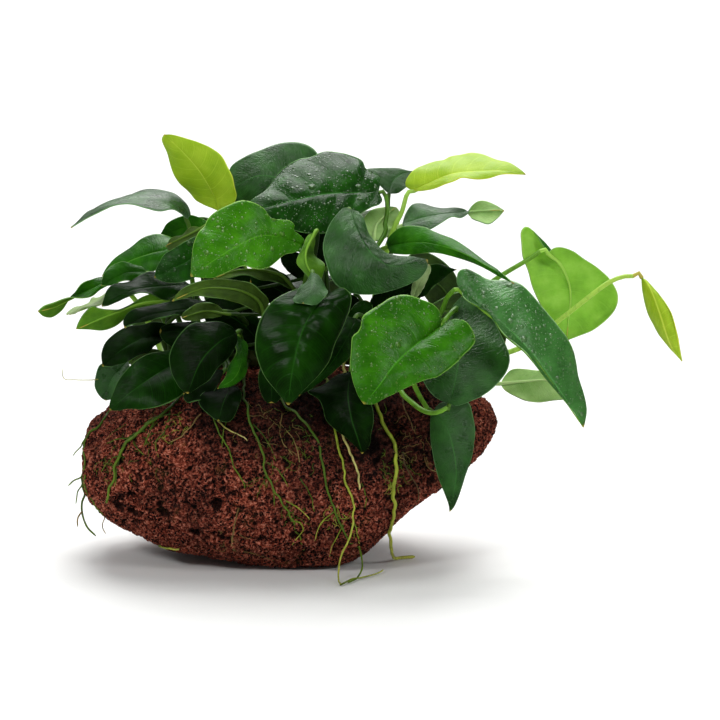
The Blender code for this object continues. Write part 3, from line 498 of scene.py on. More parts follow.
def pitDepths(mesh, points, look):
    # burst bubbles: round cups, deepest in the middle, with thin walls between neighbours
    pick = random.Random(look["seed"])
    low, high = look["pitRadius"]
    pits = [(points[pick.randrange(len(points))], low + (high - low) * pick.random() ** 3)
            for _ in range(look["pits"])]
    surface = surfaceOf(mesh)
    pits += [(np.array(surface.find_nearest(mm(place))[0]), radius) for place, radius in look["bigPits"]]
    depth = np.zeros(len(points))
    order = np.argsort(points[:, 0])
    sortedAcross = points[order, 0]
    for place, radius in pits:
        reach = radius / 1000
        first, last = np.searchsorted(sortedAcross, (place[0] - reach, place[0] + reach))
        near = order[first:last]
        away = np.linalg.norm(points[near] - place, axis=1) / reach
        depth[near] = np.maximum(depth[near], radius * np.clip(1 - away ** look["pitSharpness"], 0, 1))
    return depth


def addStone(look):
    stone = roundedCopy(stoneNode, look)
    mesh = stone.data
    points, normals = np.empty(len(mesh.vertices) * 3), np.empty(len(mesh.vertices) * 3)
    mesh.vertices.foreach_get("co", points)
    mesh.vertex_normals.foreach_get("vector", normals)
    points, normals = points.reshape(-1, 3), normals.reshape(-1, 3)
    lift = np.zeros(len(points))
    for k, place in enumerate(points):
        point = Vector(place) * 1000
        spacing, height = look["crumbs"]
        lift[k] = height * noise.fractal(point / spacing + Vector((5, 9, 2)), 0.7, 2.3, 3)
        spacing, height = look["grit"]
        lift[k] += height * noise.noise(point / spacing + Vector((1, 4, 8)))
    lift -= pitDepths(mesh, points, look)
    proud = look["proud"]
    lift = np.where(lift > proud, proud + (lift - proud) * proud, lift)
    lift[(points[:, 2] < look["foot"] / 1000) & (normals[:, 2] < look["footFacing"])] = 0.0
    moved = points + normals * lift[:, None] / 1000
    moved[:, 2] = np.maximum(moved[:, 2], 0.0)
    mesh.vertices.foreach_set("co", moved.ravel())
    storeNumbers(mesh, "depth", np.clip(0.5 - lift / 3.0, 0, 1))   # 0.5 on the skin, 1 at 1.5 mm down
    mesh.shade_smooth()
    mesh.materials.clear()
    stone.name = mesh.name = "lavaStone"
    return stone


def lavaSkin():
    # Basalt scoria, red with iron, foamed and broken: matt and gritty, with painted shade black down in its
    # pores and pits
    made, tree, shader, place = newMaterial("lavaRockBroken", {"IOR": 1.5, "Specular IOR Level": 0.12})
    # clouds of 25 mm, lumps of 9 mm, crumbs of 1.2 mm that break down to 0.2 mm
    cloud = addNode(tree, "TexNoise", {"Scale": 40.0, "Detail": 4.0, "Vector": place}).outputs
    lumps = noiseOf(tree, place, 110.0, 4.0, 0.6)
    crumb = noiseOf(tree, place, 800.0, 4.0, 0.7)
    # the crumbs' middle stops are the rock's own red-browns; the near-black low end is painted shade between
    # the crumbs and the pale high end painted highlight on their raised tops, where their bump is highest
    skin = rampOf(tree, crumb, [(0.39, "#1E0A06"), (0.63, "#E8957A"), (0.46, "#7E3424"), (0.54, "#B45A43")])
    skin = blend(tree, remap(tree, cloud["Fac"], 0.45, 0.70, 0.6), skin, "#401E19")
    # grey-black mineral specks
    speck = noiseOf(tree, place, 300.0, 3.0)
    skin = blend(tree, remap(tree, speck, 0.62, 0.70, 0.75), skin, "#241A18")
    # open pores of two sizes, 2.2 and 1.2 mm apart, stretched by a noise so none is round
    torn = warped(tree, place, noiseOf(tree, place, 500.0, 2.0, output="Color"), 0.0016)
    pores = 0.0
    for spacing, bottom, brim in ((2.2, 0.24, 0.32), (1.2, 0.32, 0.42)):
        cells = addNode(tree, "TexVoronoi", {"Scale": 1000 / spacing, "Vector": torn})
        pores = calc(tree, "MAXIMUM", remap(tree, cells.outputs["Distance"], brim, bottom), pores)
    gate = remap(tree, noiseOf(tree, place, 130.0, 3.0), 0.38, 0.48)
    pores = calc(tree, "MULTIPLY", pores, gate)
    # painted shade: the pores and the pressed-in pits go near-black, the pits more the deeper they are
    deep = remap(tree, attributeOf(tree, "depth"), 0.58, 0.88, 0.92)
    skin = blend(tree, calc(tree, "MAXIMUM", deep, pores), skin, "#100605")
    # painted shade: the rock goes near-black in three ragged patches along the front of its top, under the
    # leaves
    shadePatchPlace = warped(tree, place, cloud["Color"], 0.03)
    for middle in ((0.003, -0.030, 0.093), (0.035, -0.032, 0.091), (0.069, -0.025, 0.082)):
        away = addNode(tree, "VectorMath", {"operation": "DISTANCE", 0: shadePatchPlace, 1: middle})
        skin = blend(tree, remap(tree, away.outputs["Value"], 0.038, 0.020, 0.75), skin, "#120705")
    # a film of algae and moss here and there
    film = noiseOf(tree, place, 90.0, 5.0, 0.7)
    skin = blend(tree, remap(tree, film, 0.59, 0.72, 0.4), skin, "#4E4A1C")
    bump = relief(tree, lumps, 0.007)
    bump = relief(tree, crumb, 0.0022, bump)
    bump = relief(tree, pores, 0.0012, bump, invert=True)
    rough = remap(tree, crumb, 0.0, 1.0, 1.0, 0.75)
    feed(tree, shader, {"Base Color": skin, "Roughness": rough, "Normal": bump})
    return made


stone = addStone(stoneLook)
stone.data.materials.append(lavaSkin())
handOver(stone, "stone", "stone")
rock = surfaceOf(stone.data)
print("stone made:", len(stone.data.polygons), "faces")


# The rhizome, in millimetres: a creeping stem ringed by the scars of old leaves, green at its
# growing end. It lies where the CAD model has it.
rhizomeLook = dict(
    radius=4.6, steps=15, budHeight=1.6, gap=0.4,
    course=((-56, 3), (-38, -3), (-18, 0), (2, -4), (22, 2), (42, -1), (60, 4)),
    feelers=((0, 0), (-4, 0), (4, 0), (0, -3), (0, 3)),   # where the ground under it is felt
    scarSpacing=3.1, scarDepth=0.35, scarEdge=0.4,
    oldEnd=0.45, growingEnd=0.60,   # how far the ends go past the axis, in its steps
    rounding=(5, 6), blunt=0.25,   # how far the old and the growing end taper, and how flat they are
    lumps=(2.2, 0.4), points=240, sides=24,   # lumps: spacing and height
)


def rhizomeCourse(look):
    # the stem's axis as the CAD model has it: it lies on the highest ground under it
    shell = surfaceOf(stoneNode.data)
    axis = []
    for point in smoothCourse([mm((x, y, 164)) for x, y in look["course"]], look["steps"]):
        ground = [shell.ray_cast(point + mm((x, y, 0)), Vector((0, 0, -1)))[0].z for x, y in look["feelers"]]
        axis.append(Vector((point.x, point.y, max(ground) + (look["radius"] + look["gap"]) / 1000)))
    heights = [p.z for p in axis]
    for k, point in enumerate(axis):
        point.z = max(heights[max(0, k - 1): k + 2])
    return axis


def addRhizome(look, axis):
    old = axis[0] + (axis[0] - axis[1]) * look["oldEnd"]
    growing = axis[-1] + (axis[-1] - axis[-2]) * look["growingEnd"]
    course = smoothCourse([old, *axis, growing], look["points"])
    length = lengthOf(course)
    radii = []
    for k in range(len(course)):
        place = length * k / (len(course) - 1)
        scar = abs(math.sin(math.pi * place / look["scarSpacing"])) ** look["scarEdge"]
        ends = zip((place, length - place), look["rounding"])
        end = min(1.0, *(((away + look["blunt"]) / reach) ** 0.5 for away, reach in ends))
        radii.append((look["radius"] * end - look["scarDepth"] * (1 - scar)) / 1000)
    stem = addStrand(course, radii, look["sides"])
    stem.data.materials.append(strandMaterials["rhizomeSkin"])
    spacing, height = look["lumps"]
    for vertex in stem.data.vertices:
        vertex.co += vertex.normal * (height / 1000) * noise.noise(vertex.co * 1000 / spacing)
    stem.name = stem.data.name = "rhizomeStem"
    return stem


axis = rhizomeCourse(rhizomeLook)
handOver(addRhizome(rhizomeLook, axis), "rhizome", "rhizome")
print("rhizome made")


# The leaves, in millimetres, in three rows of buds along the rhizome. The spine runs from the
# petiole to the tip, and margins are both edges of the blade between those two. A plainer blade
# has only edges, a point on each margin at the share of the spine where it is widest. top is the
# way its upper side faces, stem the points its petiole passes, finish, under and petiole its
# materials, and curl (side, from, degrees), roll, crown, quilt and sideVeins shape it further.
frontLeaves = dict(
    sheen_left_low=dict(finish="sheen", spine=[(-69, -18, 88), (-75.5, -23, 81.5), (-78, -27, 72.5)],
        margins=[[(-75.5, -20, 88), (-80.5, -21, 87), (-82.5, -22, 83), (-83, -24, 79), (-82, -25, 76),
            (-80, -26, 73.5)],
            [(-68, -22, 86), (-68.5, -24, 81), (-71, -26, 77), (-74.5, -27, 73.5)]]),
    dark_left_mid=dict(finish="deep",
        spine=[(-53, -18, 100), (-61.5, -28, 99.5), (-70, -35, 95.5), (-78, -38, 89)],
        margins=[[(-51.5, -20, 104), (-57, -22, 106), (-63, -24, 104.5), (-69, -27, 104), (-73.5, -30, 102),
            (-77, -33, 98.5), (-78.5, -36, 94)],
            [(-54.5, -24, 97.5), (-57, -28, 96), (-59, -32, 94), (-63, -35, 92.5), (-67, -37, 91),
            (-71.5, -38, 90), (-74.5, -39, 89)]]),
    dark_left_low=dict(finish="mature",
        spine=[(-44, -30, 91.5), (-55, -40, 86), (-65.5, -46, 79), (-74.5, -46, 71.5)],
        margins=[[(-48, -30, 94.5), (-52.5, -33, 95), (-58, -36, 94), (-63, -38, 91.5), (-67.5, -40, 88),
            (-71, -42, 83.5), (-73, -44, 78.5), (-74.5, -45, 74.5)],
            [(-41, -38, 86.5), (-42, -43, 80.5), (-45.5, -46, 77), (-49.5, -48, 74.5), (-54, -49, 73),
            (-60, -49, 72.5), (-66.5, -48, 72.5), (-71, -47, 71.5)]]),
    under_round_left=dict(finish="deep", widest=0.4, spine=[(-27, -38, 87), (-34, -45, 83), (-43, -49, 79)],
        edges=[(-37, -42, 85), (-34, -50, 77)]),
    dark_on_rock_left=dict(finish="deep", spine=[(-23, -42, 82), (-26, -52, 76), (-28, -57, 69)],
        margins=[[(-29, -44, 80.5), (-35, -48, 78.5), (-36.5, -51, 76), (-34, -54, 72.5), (-30.5, -56, 70)],
            [(-19, -46, 79.5), (-19.5, -50, 75), (-21, -54, 71.5), (-24, -56, 68.5)]]),
    round_dark_left=dict(finish="deep",
        spine=[(-21, -42, 104), (-28, -52, 101), (-35, -59, 94), (-40.5, -61, 81)],
        margins=[[(-23.5, -42, 106.5), (-28.5, -44, 109), (-34, -46, 109), (-39, -48, 108.5),
            (-43.5, -50, 105), (-47, -52, 100), (-48.5, -54, 95), (-47.5, -56, 89.5), (-45.5, -58, 85.5),
            (-43.5, -60, 83)],
            [(-20.5, -44, 101), (-22, -47, 97.5), (-24, -50, 94.5), (-28, -54, 91), (-31.5, -57, 86.5),
            (-35.5, -59, 84), (-38.5, -60, 82)]]),
    folded_rim_left=dict(finish="green",
        spine=[(-20, -35, 100.5), (-19, -44, 92.5), (-21.5, -50, 86), (-28.5, -54, 82)],
        margins=[[(-21.5, -36, 101.5), (-21.5, -42, 96.5), (-23, -47, 92), (-25, -51, 87),
            (-27.5, -53, 83.5)],
            [(-18, -33, 97.5), (-16.5, -38, 92.5), (-17, -42, 88), (-19, -46, 84.5), (-22.5, -50, 82.5)]]),
    olive_arch=dict(finish="mature", top="back", under="oliveUnder",
        spine=[(-10, -26, 107), (-12, -29, 115.5), (-18.5, -35, 120.5), (-27, -40, 122.5),
            (-36, -44, 122.5), (-47.5, -47, 118)],
        margins=[[(-8, -27, 112.5), (-8, -29, 116.5), (-11, -31, 120), (-15.5, -34, 124),
            (-21.5, -37, 125.5), (-28, -40, 126.5), (-34.5, -43, 126), (-40, -45, 124.5),
            (-44.5, -46, 122)],
            [(-12.5, -28, 110.5), (-16.5, -32, 113.5), (-21, -37, 116), (-26, -41, 118), (-32, -44, 119),
            (-37.5, -46, 120), (-43, -47, 119)]]),
    central_left=dict(finish="deep", widest=0.45, spine=[(2, -44, 99), (-5, -52, 89), (-6, -54, 76)],
        edges=[(-11, -50, 89), (0, -52, 85)]),
    wet_left_front=dict(finish="wetFresh", quilt=0.35, sideVeins=7,
        spine=[(7, -30, 139.5), (-0.5, -36, 143), (-10, -43, 145), (-19.5, -50, 141.5), (-30, -56, 135.5),
            (-39, -58, 129.5)],
        margins=[[(7.5, -30, 141.5), (5, -31, 144.5), (3, -32, 146), (3.5, -33, 148.5), (1.5, -34, 150.5),
            (-2, -36, 151), (-6.5, -37, 152), (-9.5, -38, 155.5), (-14, -39, 158), (-19, -40, 159),
            (-24, -42, 157.5), (-29.5, -44, 155), (-32.5, -46, 152), (-33.5, -48, 149.5), (-36, -50, 147),
            (-38, -52, 142), (-38.5, -55, 137)],
            [(6, -32, 137.5), (3, -35, 137), (-1, -39, 136.5), (-3.5, -43, 134.5), (-6.5, -47, 132.5),
            (-10.5, -50, 131.5), (-14, -52, 132), (-17.5, -53, 133), (-21.5, -54, 132), (-26, -56, 130.5),
            (-30, -57, 129), (-35, -58, 129)]]),
    rolled_centre=dict(finish="mature", top="back", under="freshUnder",
        spine=[(11.5, -28, 144.5), (8, -33, 138), (8.5, -36, 131.5), (13.5, -37, 124)],
        margins=[[(9, -29, 143.5), (6, -33, 138.5), (4.5, -36, 133.5), (7, -37, 129), (10.5, -37, 125)],
            [(11.5, -27, 141.5), (11, -29, 136.5), (14.5, -31, 133), (16, -33, 130.5), (15, -35, 126.5)]]),
    bent_centre=dict(finish="sheen", spine=[(11, -48, 130), (11, -57, 124.5), (7.5, -62, 119)],
        margins=[[(8.5, -51, 126.5), (5.5, -56, 123.5), (3.5, -61, 120.5), (4.5, -62, 119)],
            [(14, -50, 128.5), (17, -54, 124.5), (17.5, -57, 122), (14.5, -60, 119.5), (11, -62, 118.5)]]),
    central_dark=dict(finish="mature", quilt=0.75,
        spine=[(16, -50, 119), (11, -60, 114.5), (7.5, -66, 108.5), (5, -70, 100.5), (3, -72, 90.5),
            (1.5, -72, 78)],
        margins=[[(13.5, -50, 122), (8, -52, 124.5), (3, -54, 123.5), (-1.5, -57, 121.5), (-6, -60, 118.5),
            (-9.5, -62, 113.5), (-11.5, -64, 107.5), (-12, -65, 101.5), (-11, -66, 96), (-8.5, -68, 90),
            (-4.5, -70, 85), (-1, -72, 81)],
            [(19.5, -49, 122), (23.5, -48, 123), (27, -49, 120.5), (27, -50, 116), (25.5, -52, 111.5),
            (23.5, -55, 107), (20.5, -58, 101.5), (18, -61, 94.5), (13.5, -65, 89), (7.5, -69, 83.5),
            (4, -71, 80)]]),
    sheen_centre=dict(finish="sheen", quilt=0.45, sideVeins=9,
        spine=[(27, -28, 154.5), (29.5, -34, 148), (32.5, -39, 142), (37.5, -43, 136), (45.5, -42, 132),
            (59.5, -36, 134)],
        margins=[[(24, -30, 155), (21, -33, 152.5), (18, -36, 148.5), (16, -38, 143.5), (15.5, -40, 138.5),
            (17, -41, 132.5), (19.5, -42, 126), (24, -43, 122), (30, -44, 120.5), (37.5, -44, 120.5),
            (44.5, -43, 122), (51, -41, 124), (56, -39, 126.5), (59, -37, 130.5)],
            [(30, -29, 153.5), (32.5, -32, 151), (34.5, -35, 145.5), (37.5, -37, 141.5), (41, -38, 137.5),
            (46.5, -38, 136), (53, -37, 135.5), (57, -36, 134.5)]]),
    hanging_centre=dict(finish="deep",
        spine=[(27, -44, 87.5), (26, -52, 79), (27.5, -60, 70), (30, -62, 62.5), (32, -60, 55.5)],
        margins=[[(21.5, -44, 86), (15, -46, 82), (9, -47, 79), (13.5, -50, 76.5), (15.5, -52, 73.5),
            (17, -54, 69), (21, -56, 65), (25.5, -58, 62), (29.5, -60, 58.5)],
            [(30, -44, 84), (33.5, -48, 78.5), (36, -51, 73.5), (36.5, -53, 68), (35.5, -55, 63),
            (35, -57, 59)]]),
    central_right=dict(finish="mature",
        spine=[(29, -38, 109.5), (25, -48, 101.5), (17.5, -56, 91), (5.5, -58, 79.5)],
        margins=[[(24.5, -42, 110), (19.5, -48, 104.5), (14.5, -54, 96), (8.5, -58, 86.5)],
            [(32, -38, 107), (30, -42, 103.5), (28, -46, 99), (26.5, -49, 94.5), (22, -52, 91),
            (16, -55, 86), (10.5, -57, 82.5)]]),
    heart_front=dict(finish="heart", quilt=0.3, sideVeins=7,
        spine=[(63, -60, 107.5), (55.5, -70, 104), (45.5, -80, 96.5), (38.5, -86, 88), (32.5, -87.4, 81)],
        stem=[(63.5, -30, 94), (69, -36, 107.5), (71.5, -44, 114.5), (68.5, -53, 113.5),
            (65.5, -58, 110.5)],
        margins=[[(64.5, -58, 110), (64, -57, 114.5), (61, -58, 118.5), (55.5, -60, 121),
            (49.5, -63, 122.5), (43.5, -66, 121.5), (39, -69, 119), (35, -72, 117), (32, -75, 115),
            (31.5, -77, 111.5), (30, -78, 109), (28, -79, 107.5), (27.5, -81, 102), (27, -83, 96),
            (28, -85, 90.5), (30, -87, 85)],
            [(65.5, -59, 109.5), (69.5, -60, 111.5), (74, -61, 111), (77, -63, 108), (78.5, -65, 104),
            (76.5, -67, 101), (74, -69, 99), (70.5, -71, 95.5), (66.5, -73, 92.5), (62, -76, 90),
            (57.5, -78, 89.5), (51.5, -80, 87.5), (46.5, -83, 85.5), (40.5, -86, 83), (36.5, -87.6, 81)]]),
    hanging_right=dict(finish="sheen", petiole="fresh",
        spine=[(61, -54, 72), (66.5, -58, 67), (69.5, -60, 59), (71, -62, 47), (68.5, -60, 31)],
        stem=[(52, -44, 86), (55.5, -50, 79), (59, -53, 73.5)],
        margins=[[(60.5, -54, 68.5), (60.5, -55, 62.5), (61.5, -57, 54.5), (63.5, -59, 46.5),
            (66, -60, 39.5), (68, -60, 34)],
            [(64.5, -53, 75.5), (70.5, -52, 76), (76, -52, 76), (78, -53, 71), (79, -55, 64.5),
            (78.5, -56, 59.5), (77.5, -57, 53.5), (75.5, -58, 47.5), (73, -59, 40), (70.5, -60, 33.5)]]),
    inverted_right=dict(finish="sheen", petiole="fresh",
        spine=[(68, -62, 77), (70.5, -60, 86.5), (73, -52, 100), (74.5, -44, 110.5), (74.5, -38, 119.5)],
        stem=[(48, -44, 81.5), (53.5, -54, 75.5), (59, -60, 73), (63.5, -63, 73.5), (66.5, -64, 75.5)],
        margins=[[(65, -61, 78), (61.5, -60, 80), (58.5, -59, 83.5), (57, -57, 88), (59, -53, 96),
            (63, -48, 102.5), (67, -43, 108.5), (70, -40, 114.5)],
            [(71.5, -61, 76), (77.5, -60, 78), (83, -58, 80.5), (88, -55, 84), (92, -52, 88.5),
            (93.5, -50, 93.5), (92.5, -48, 98.5), (90, -45, 104), (86.5, -42, 110), (80.5, -40, 116)]]),
    lance_right=dict(finish="lance", under="freshUnder", curl=(1, 0.76, 160),
        spine=[(73.5, -54, 122.5), (81.5, -60, 116.5), (90.5, -66, 110), (100, -68, 101), (110.5, -64, 87),
            (124.5, -54, 65.5)],
        stem=[(63, -44, 108.5), (65.5, -48, 114.5), (67, -51, 119.5), (69.5, -53, 123)],
        margins=[[(71.5, -52, 125.5), (72, -50, 130), (75, -50, 131.5), (79.5, -50, 129.5),
            (84, -51, 127.5), (89, -52, 127.5), (94, -53, 127.5), (98.5, -54, 125.5), (103, -54, 121),
            (107.5, -53, 115), (112, -52, 109), (117.5, -51, 102), (121, -50, 94.5), (123, -50, 86),
            (125, -51, 77.5), (125.5, -53, 71.5)],
            [(73.5, -56, 120.5), (76.5, -58, 118.5), (80.5, -61, 117), (83.5, -63, 116), (86, -65, 112),
            (89, -66, 106.5), (92.5, -66, 103), (97.5, -66, 99), (103, -64, 93), (109, -62, 86),
            (114, -60, 79.5), (119.5, -57, 72.5), (123, -55, 68)]]),
)

topLeaves = dict(
    light_under_left=dict(finish="mature", top="back", under="freshUnder",
        spine=[(-53.5, -11, 114), (-63.5, -17, 113.5), (-74, -21, 110), (-90.5, -24, 103)],
        margins=[[(-57.5, -13, 116), (-62.5, -16, 116), (-67.5, -19, 113.5), (-72, -22, 111),
            (-76.5, -24, 111), (-80.5, -25, 112), (-83.5, -26, 113.5), (-86.5, -26, 111),
            (-89, -25, 106.5)],
            [(-56.5, -9, 112), (-62, -12, 111.5), (-66.5, -14, 109), (-70.5, -16, 106), (-75.5, -18, 103.5),
            (-80.5, -20, 102), (-86, -22, 102.5)]]),
    glossy_left=dict(finish="mature",
        spine=[(-43, -6, 120), (-55.5, -10, 119.5), (-68, -13, 118), (-80.5, -14, 111.5)],
        margins=[[(-47, -4, 122), (-54, -3, 124), (-59.5, -3, 125), (-64.5, -4, 123.5), (-69.5, -6, 121.5),
            (-75, -9, 120.5), (-78, -11, 118), (-79.5, -13, 114.5)],
            [(-47, -11, 117), (-52, -13, 114.5), (-58.5, -14, 116.5), (-64.5, -15, 117), (-70, -15, 115.5),
            (-74, -15, 113.5), (-77.5, -15, 112)]]),
    wet_left_low=dict(finish="wetSheen",
        spine=[(-34.5, -14, 137.5), (-43.5, -22, 131.5), (-56.5, -26, 125.5)],
        margins=[[(-38.5, -16, 142), (-43.5, -18, 140), (-47.5, -19, 137.5), (-52.5, -21, 135),
            (-54.5, -23, 131.5), (-56, -25, 128.5)],
            [(-35.5, -20, 129), (-39.5, -24, 125), (-43.5, -26, 123.5), (-49, -27, 123.5),
            (-53, -27, 124)]]),
    rimmed_left=dict(finish="deep",
        spine=[(-28, -24, 111), (-39, -29, 112.5), (-51.5, -33, 111.5), (-62, -35, 109), (-68.5, -36, 105)],
        margins=[[(-33, -24, 114.5), (-41.5, -26, 116), (-50, -28, 114.5), (-57.5, -30, 114.5),
            (-63, -32, 113), (-67, -34, 111), (-69, -35, 107.5)],
            [(-32, -28, 109), (-39, -31, 108.5), (-45.5, -33, 110), (-50.5, -35, 109), (-55.5, -36, 109),
            (-61, -37, 108), (-65.5, -37, 106.5)]]),
    thin_olive=dict(finish="mature", top="back", under="oliveUnder",
        spine=[(2, -14, 119), (-3.5, -17, 125), (-12.5, -20, 127.5), (-22, -22, 127.5),
            (-31.5, -24, 124.5)],
        margins=[[(1.5, -13, 121.5), (-1.5, -14, 125), (-7, -15, 128), (-13.5, -16, 128.5),
            (-20, -19, 128.5), (-26.5, -22, 127)],
            [(-0.5, -16, 120), (-5, -19, 122.5), (-11, -22, 125), (-17.5, -24, 126), (-25.5, -25, 125.5)]]),
    wet_top=dict(finish="wetSheen", quilt=0.9, sideVeins=6,
        spine=[(39, 4, 159.5), (29, -2, 159.5), (18, -7, 159.5), (5, -12, 157.5), (-7.5, -15, 154.5),
            (-19, -16, 152.5)],
        stem=[(39, 0, 137), (42, 2, 146), (43, 4, 154)],
        margins=[[(39.5, 8, 161.5), (39.5, 11, 165), (36.5, 13, 167.5), (33.5, 14, 169), (32, 15, 172.5),
            (27.5, 16, 174.5), (21.5, 16, 175.5), (15, 15, 175.5), (9, 13, 173.5), (4, 11, 173),
            (-1.5, 8, 170.5), (-5.5, 4, 166.5), (-8, -2, 162.5), (-11, -8, 159.5), (-15.5, -12, 157)],
            [(40.5, 2, 156), (39, -2, 154), (35.5, -6, 153), (31, -10, 151), (24.5, -16, 147),
            (17, -19, 143.5), (9, -20, 143.5), (0.5, -20, 146), (-8.5, -19, 149.5), (-14.5, -18, 152)]]),
    lance_upper=dict(finish="green",
        spine=[(43, -14, 137.5), (50, -20, 139.5), (60.5, -30, 140.5), (72.5, -46, 138.5),
            (84.5, -60, 133.5), (94, -70, 128)],
        margins=[[(43, -14, 140), (45.5, -15, 143), (49, -17, 145.5), (53, -19, 146.5), (58.5, -22, 146.5),
            (61.5, -26, 145.5), (66, -31, 144), (71, -37, 142.5), (75.5, -43, 140), (80, -50, 137),
            (84.5, -57, 134.5), (89.5, -65, 131.5)],
            [(44.5, -18, 135), (49, -22, 135), (54.5, -27, 136), (61.5, -33, 136.5), (69, -39, 136),
            (76, -48, 135), (81.5, -56, 133.5), (87.5, -63, 130.5)]]),
    lime_right=dict(finish="lime",
        spine=[(54, 0, 160.5), (61.5, -2, 164), (72, -4, 168), (85, -5, 169), (95.5, -5, 169),
            (102.5, -4, 167.5)],
        stem=[(44, -2, 139), (49, -1, 151)],
        margins=[[(51.5, 2, 161.5), (51, 3, 163.5), (52.5, 5, 166), (55.5, 7, 169), (59, 9, 171),
            (63.5, 10, 173), (67.5, 10, 173.5), (70.5, 10, 174.5), (75.5, 10, 174.5), (81, 9, 175),
            (86, 8, 174.5), (90.5, 6, 173.5), (95, 3, 172.5), (99, -1, 170)],
            [(57, -3, 160.5), (61, -6, 162), (66.5, -8, 163.5), (71.5, -10, 164.5), (75, -11, 166),
            (80.5, -11, 166.5), (86, -10, 167), (91.5, -8, 167.5), (96.5, -6, 167.5)]]),
    small_upper=dict(finish="mature",
        spine=[(56, -4, 114), (61.5, -8, 120.5), (67, -12, 125.5), (72.5, -14, 127.5)],
        margins=[[(57.5, -6, 120.5), (58.5, -8, 126.5), (61.5, -9, 129), (64.5, -10, 129.5),
            (68.5, -12, 128.5)],
            [(59, -6, 115), (62, -8, 118.5), (65.5, -10, 122), (69, -12, 125)]]),
    rolled_bud=dict(finish="lime", top="back", widest=0.5, under="budUnder", roll=True,
        spine=[(154, 0, 122), (158, -2, 113), (164, -4, 102), (171.7, -4, 86)],
        stem=[(79, 1, 87), (100, -1, 91), (116, 0, 102), (135, 0, 117), (141, 0, 121), (147, 0, 123),
            (152, 0, 123)],
        edges=[(157, -8, 106), (165, -8, 110)]),
)

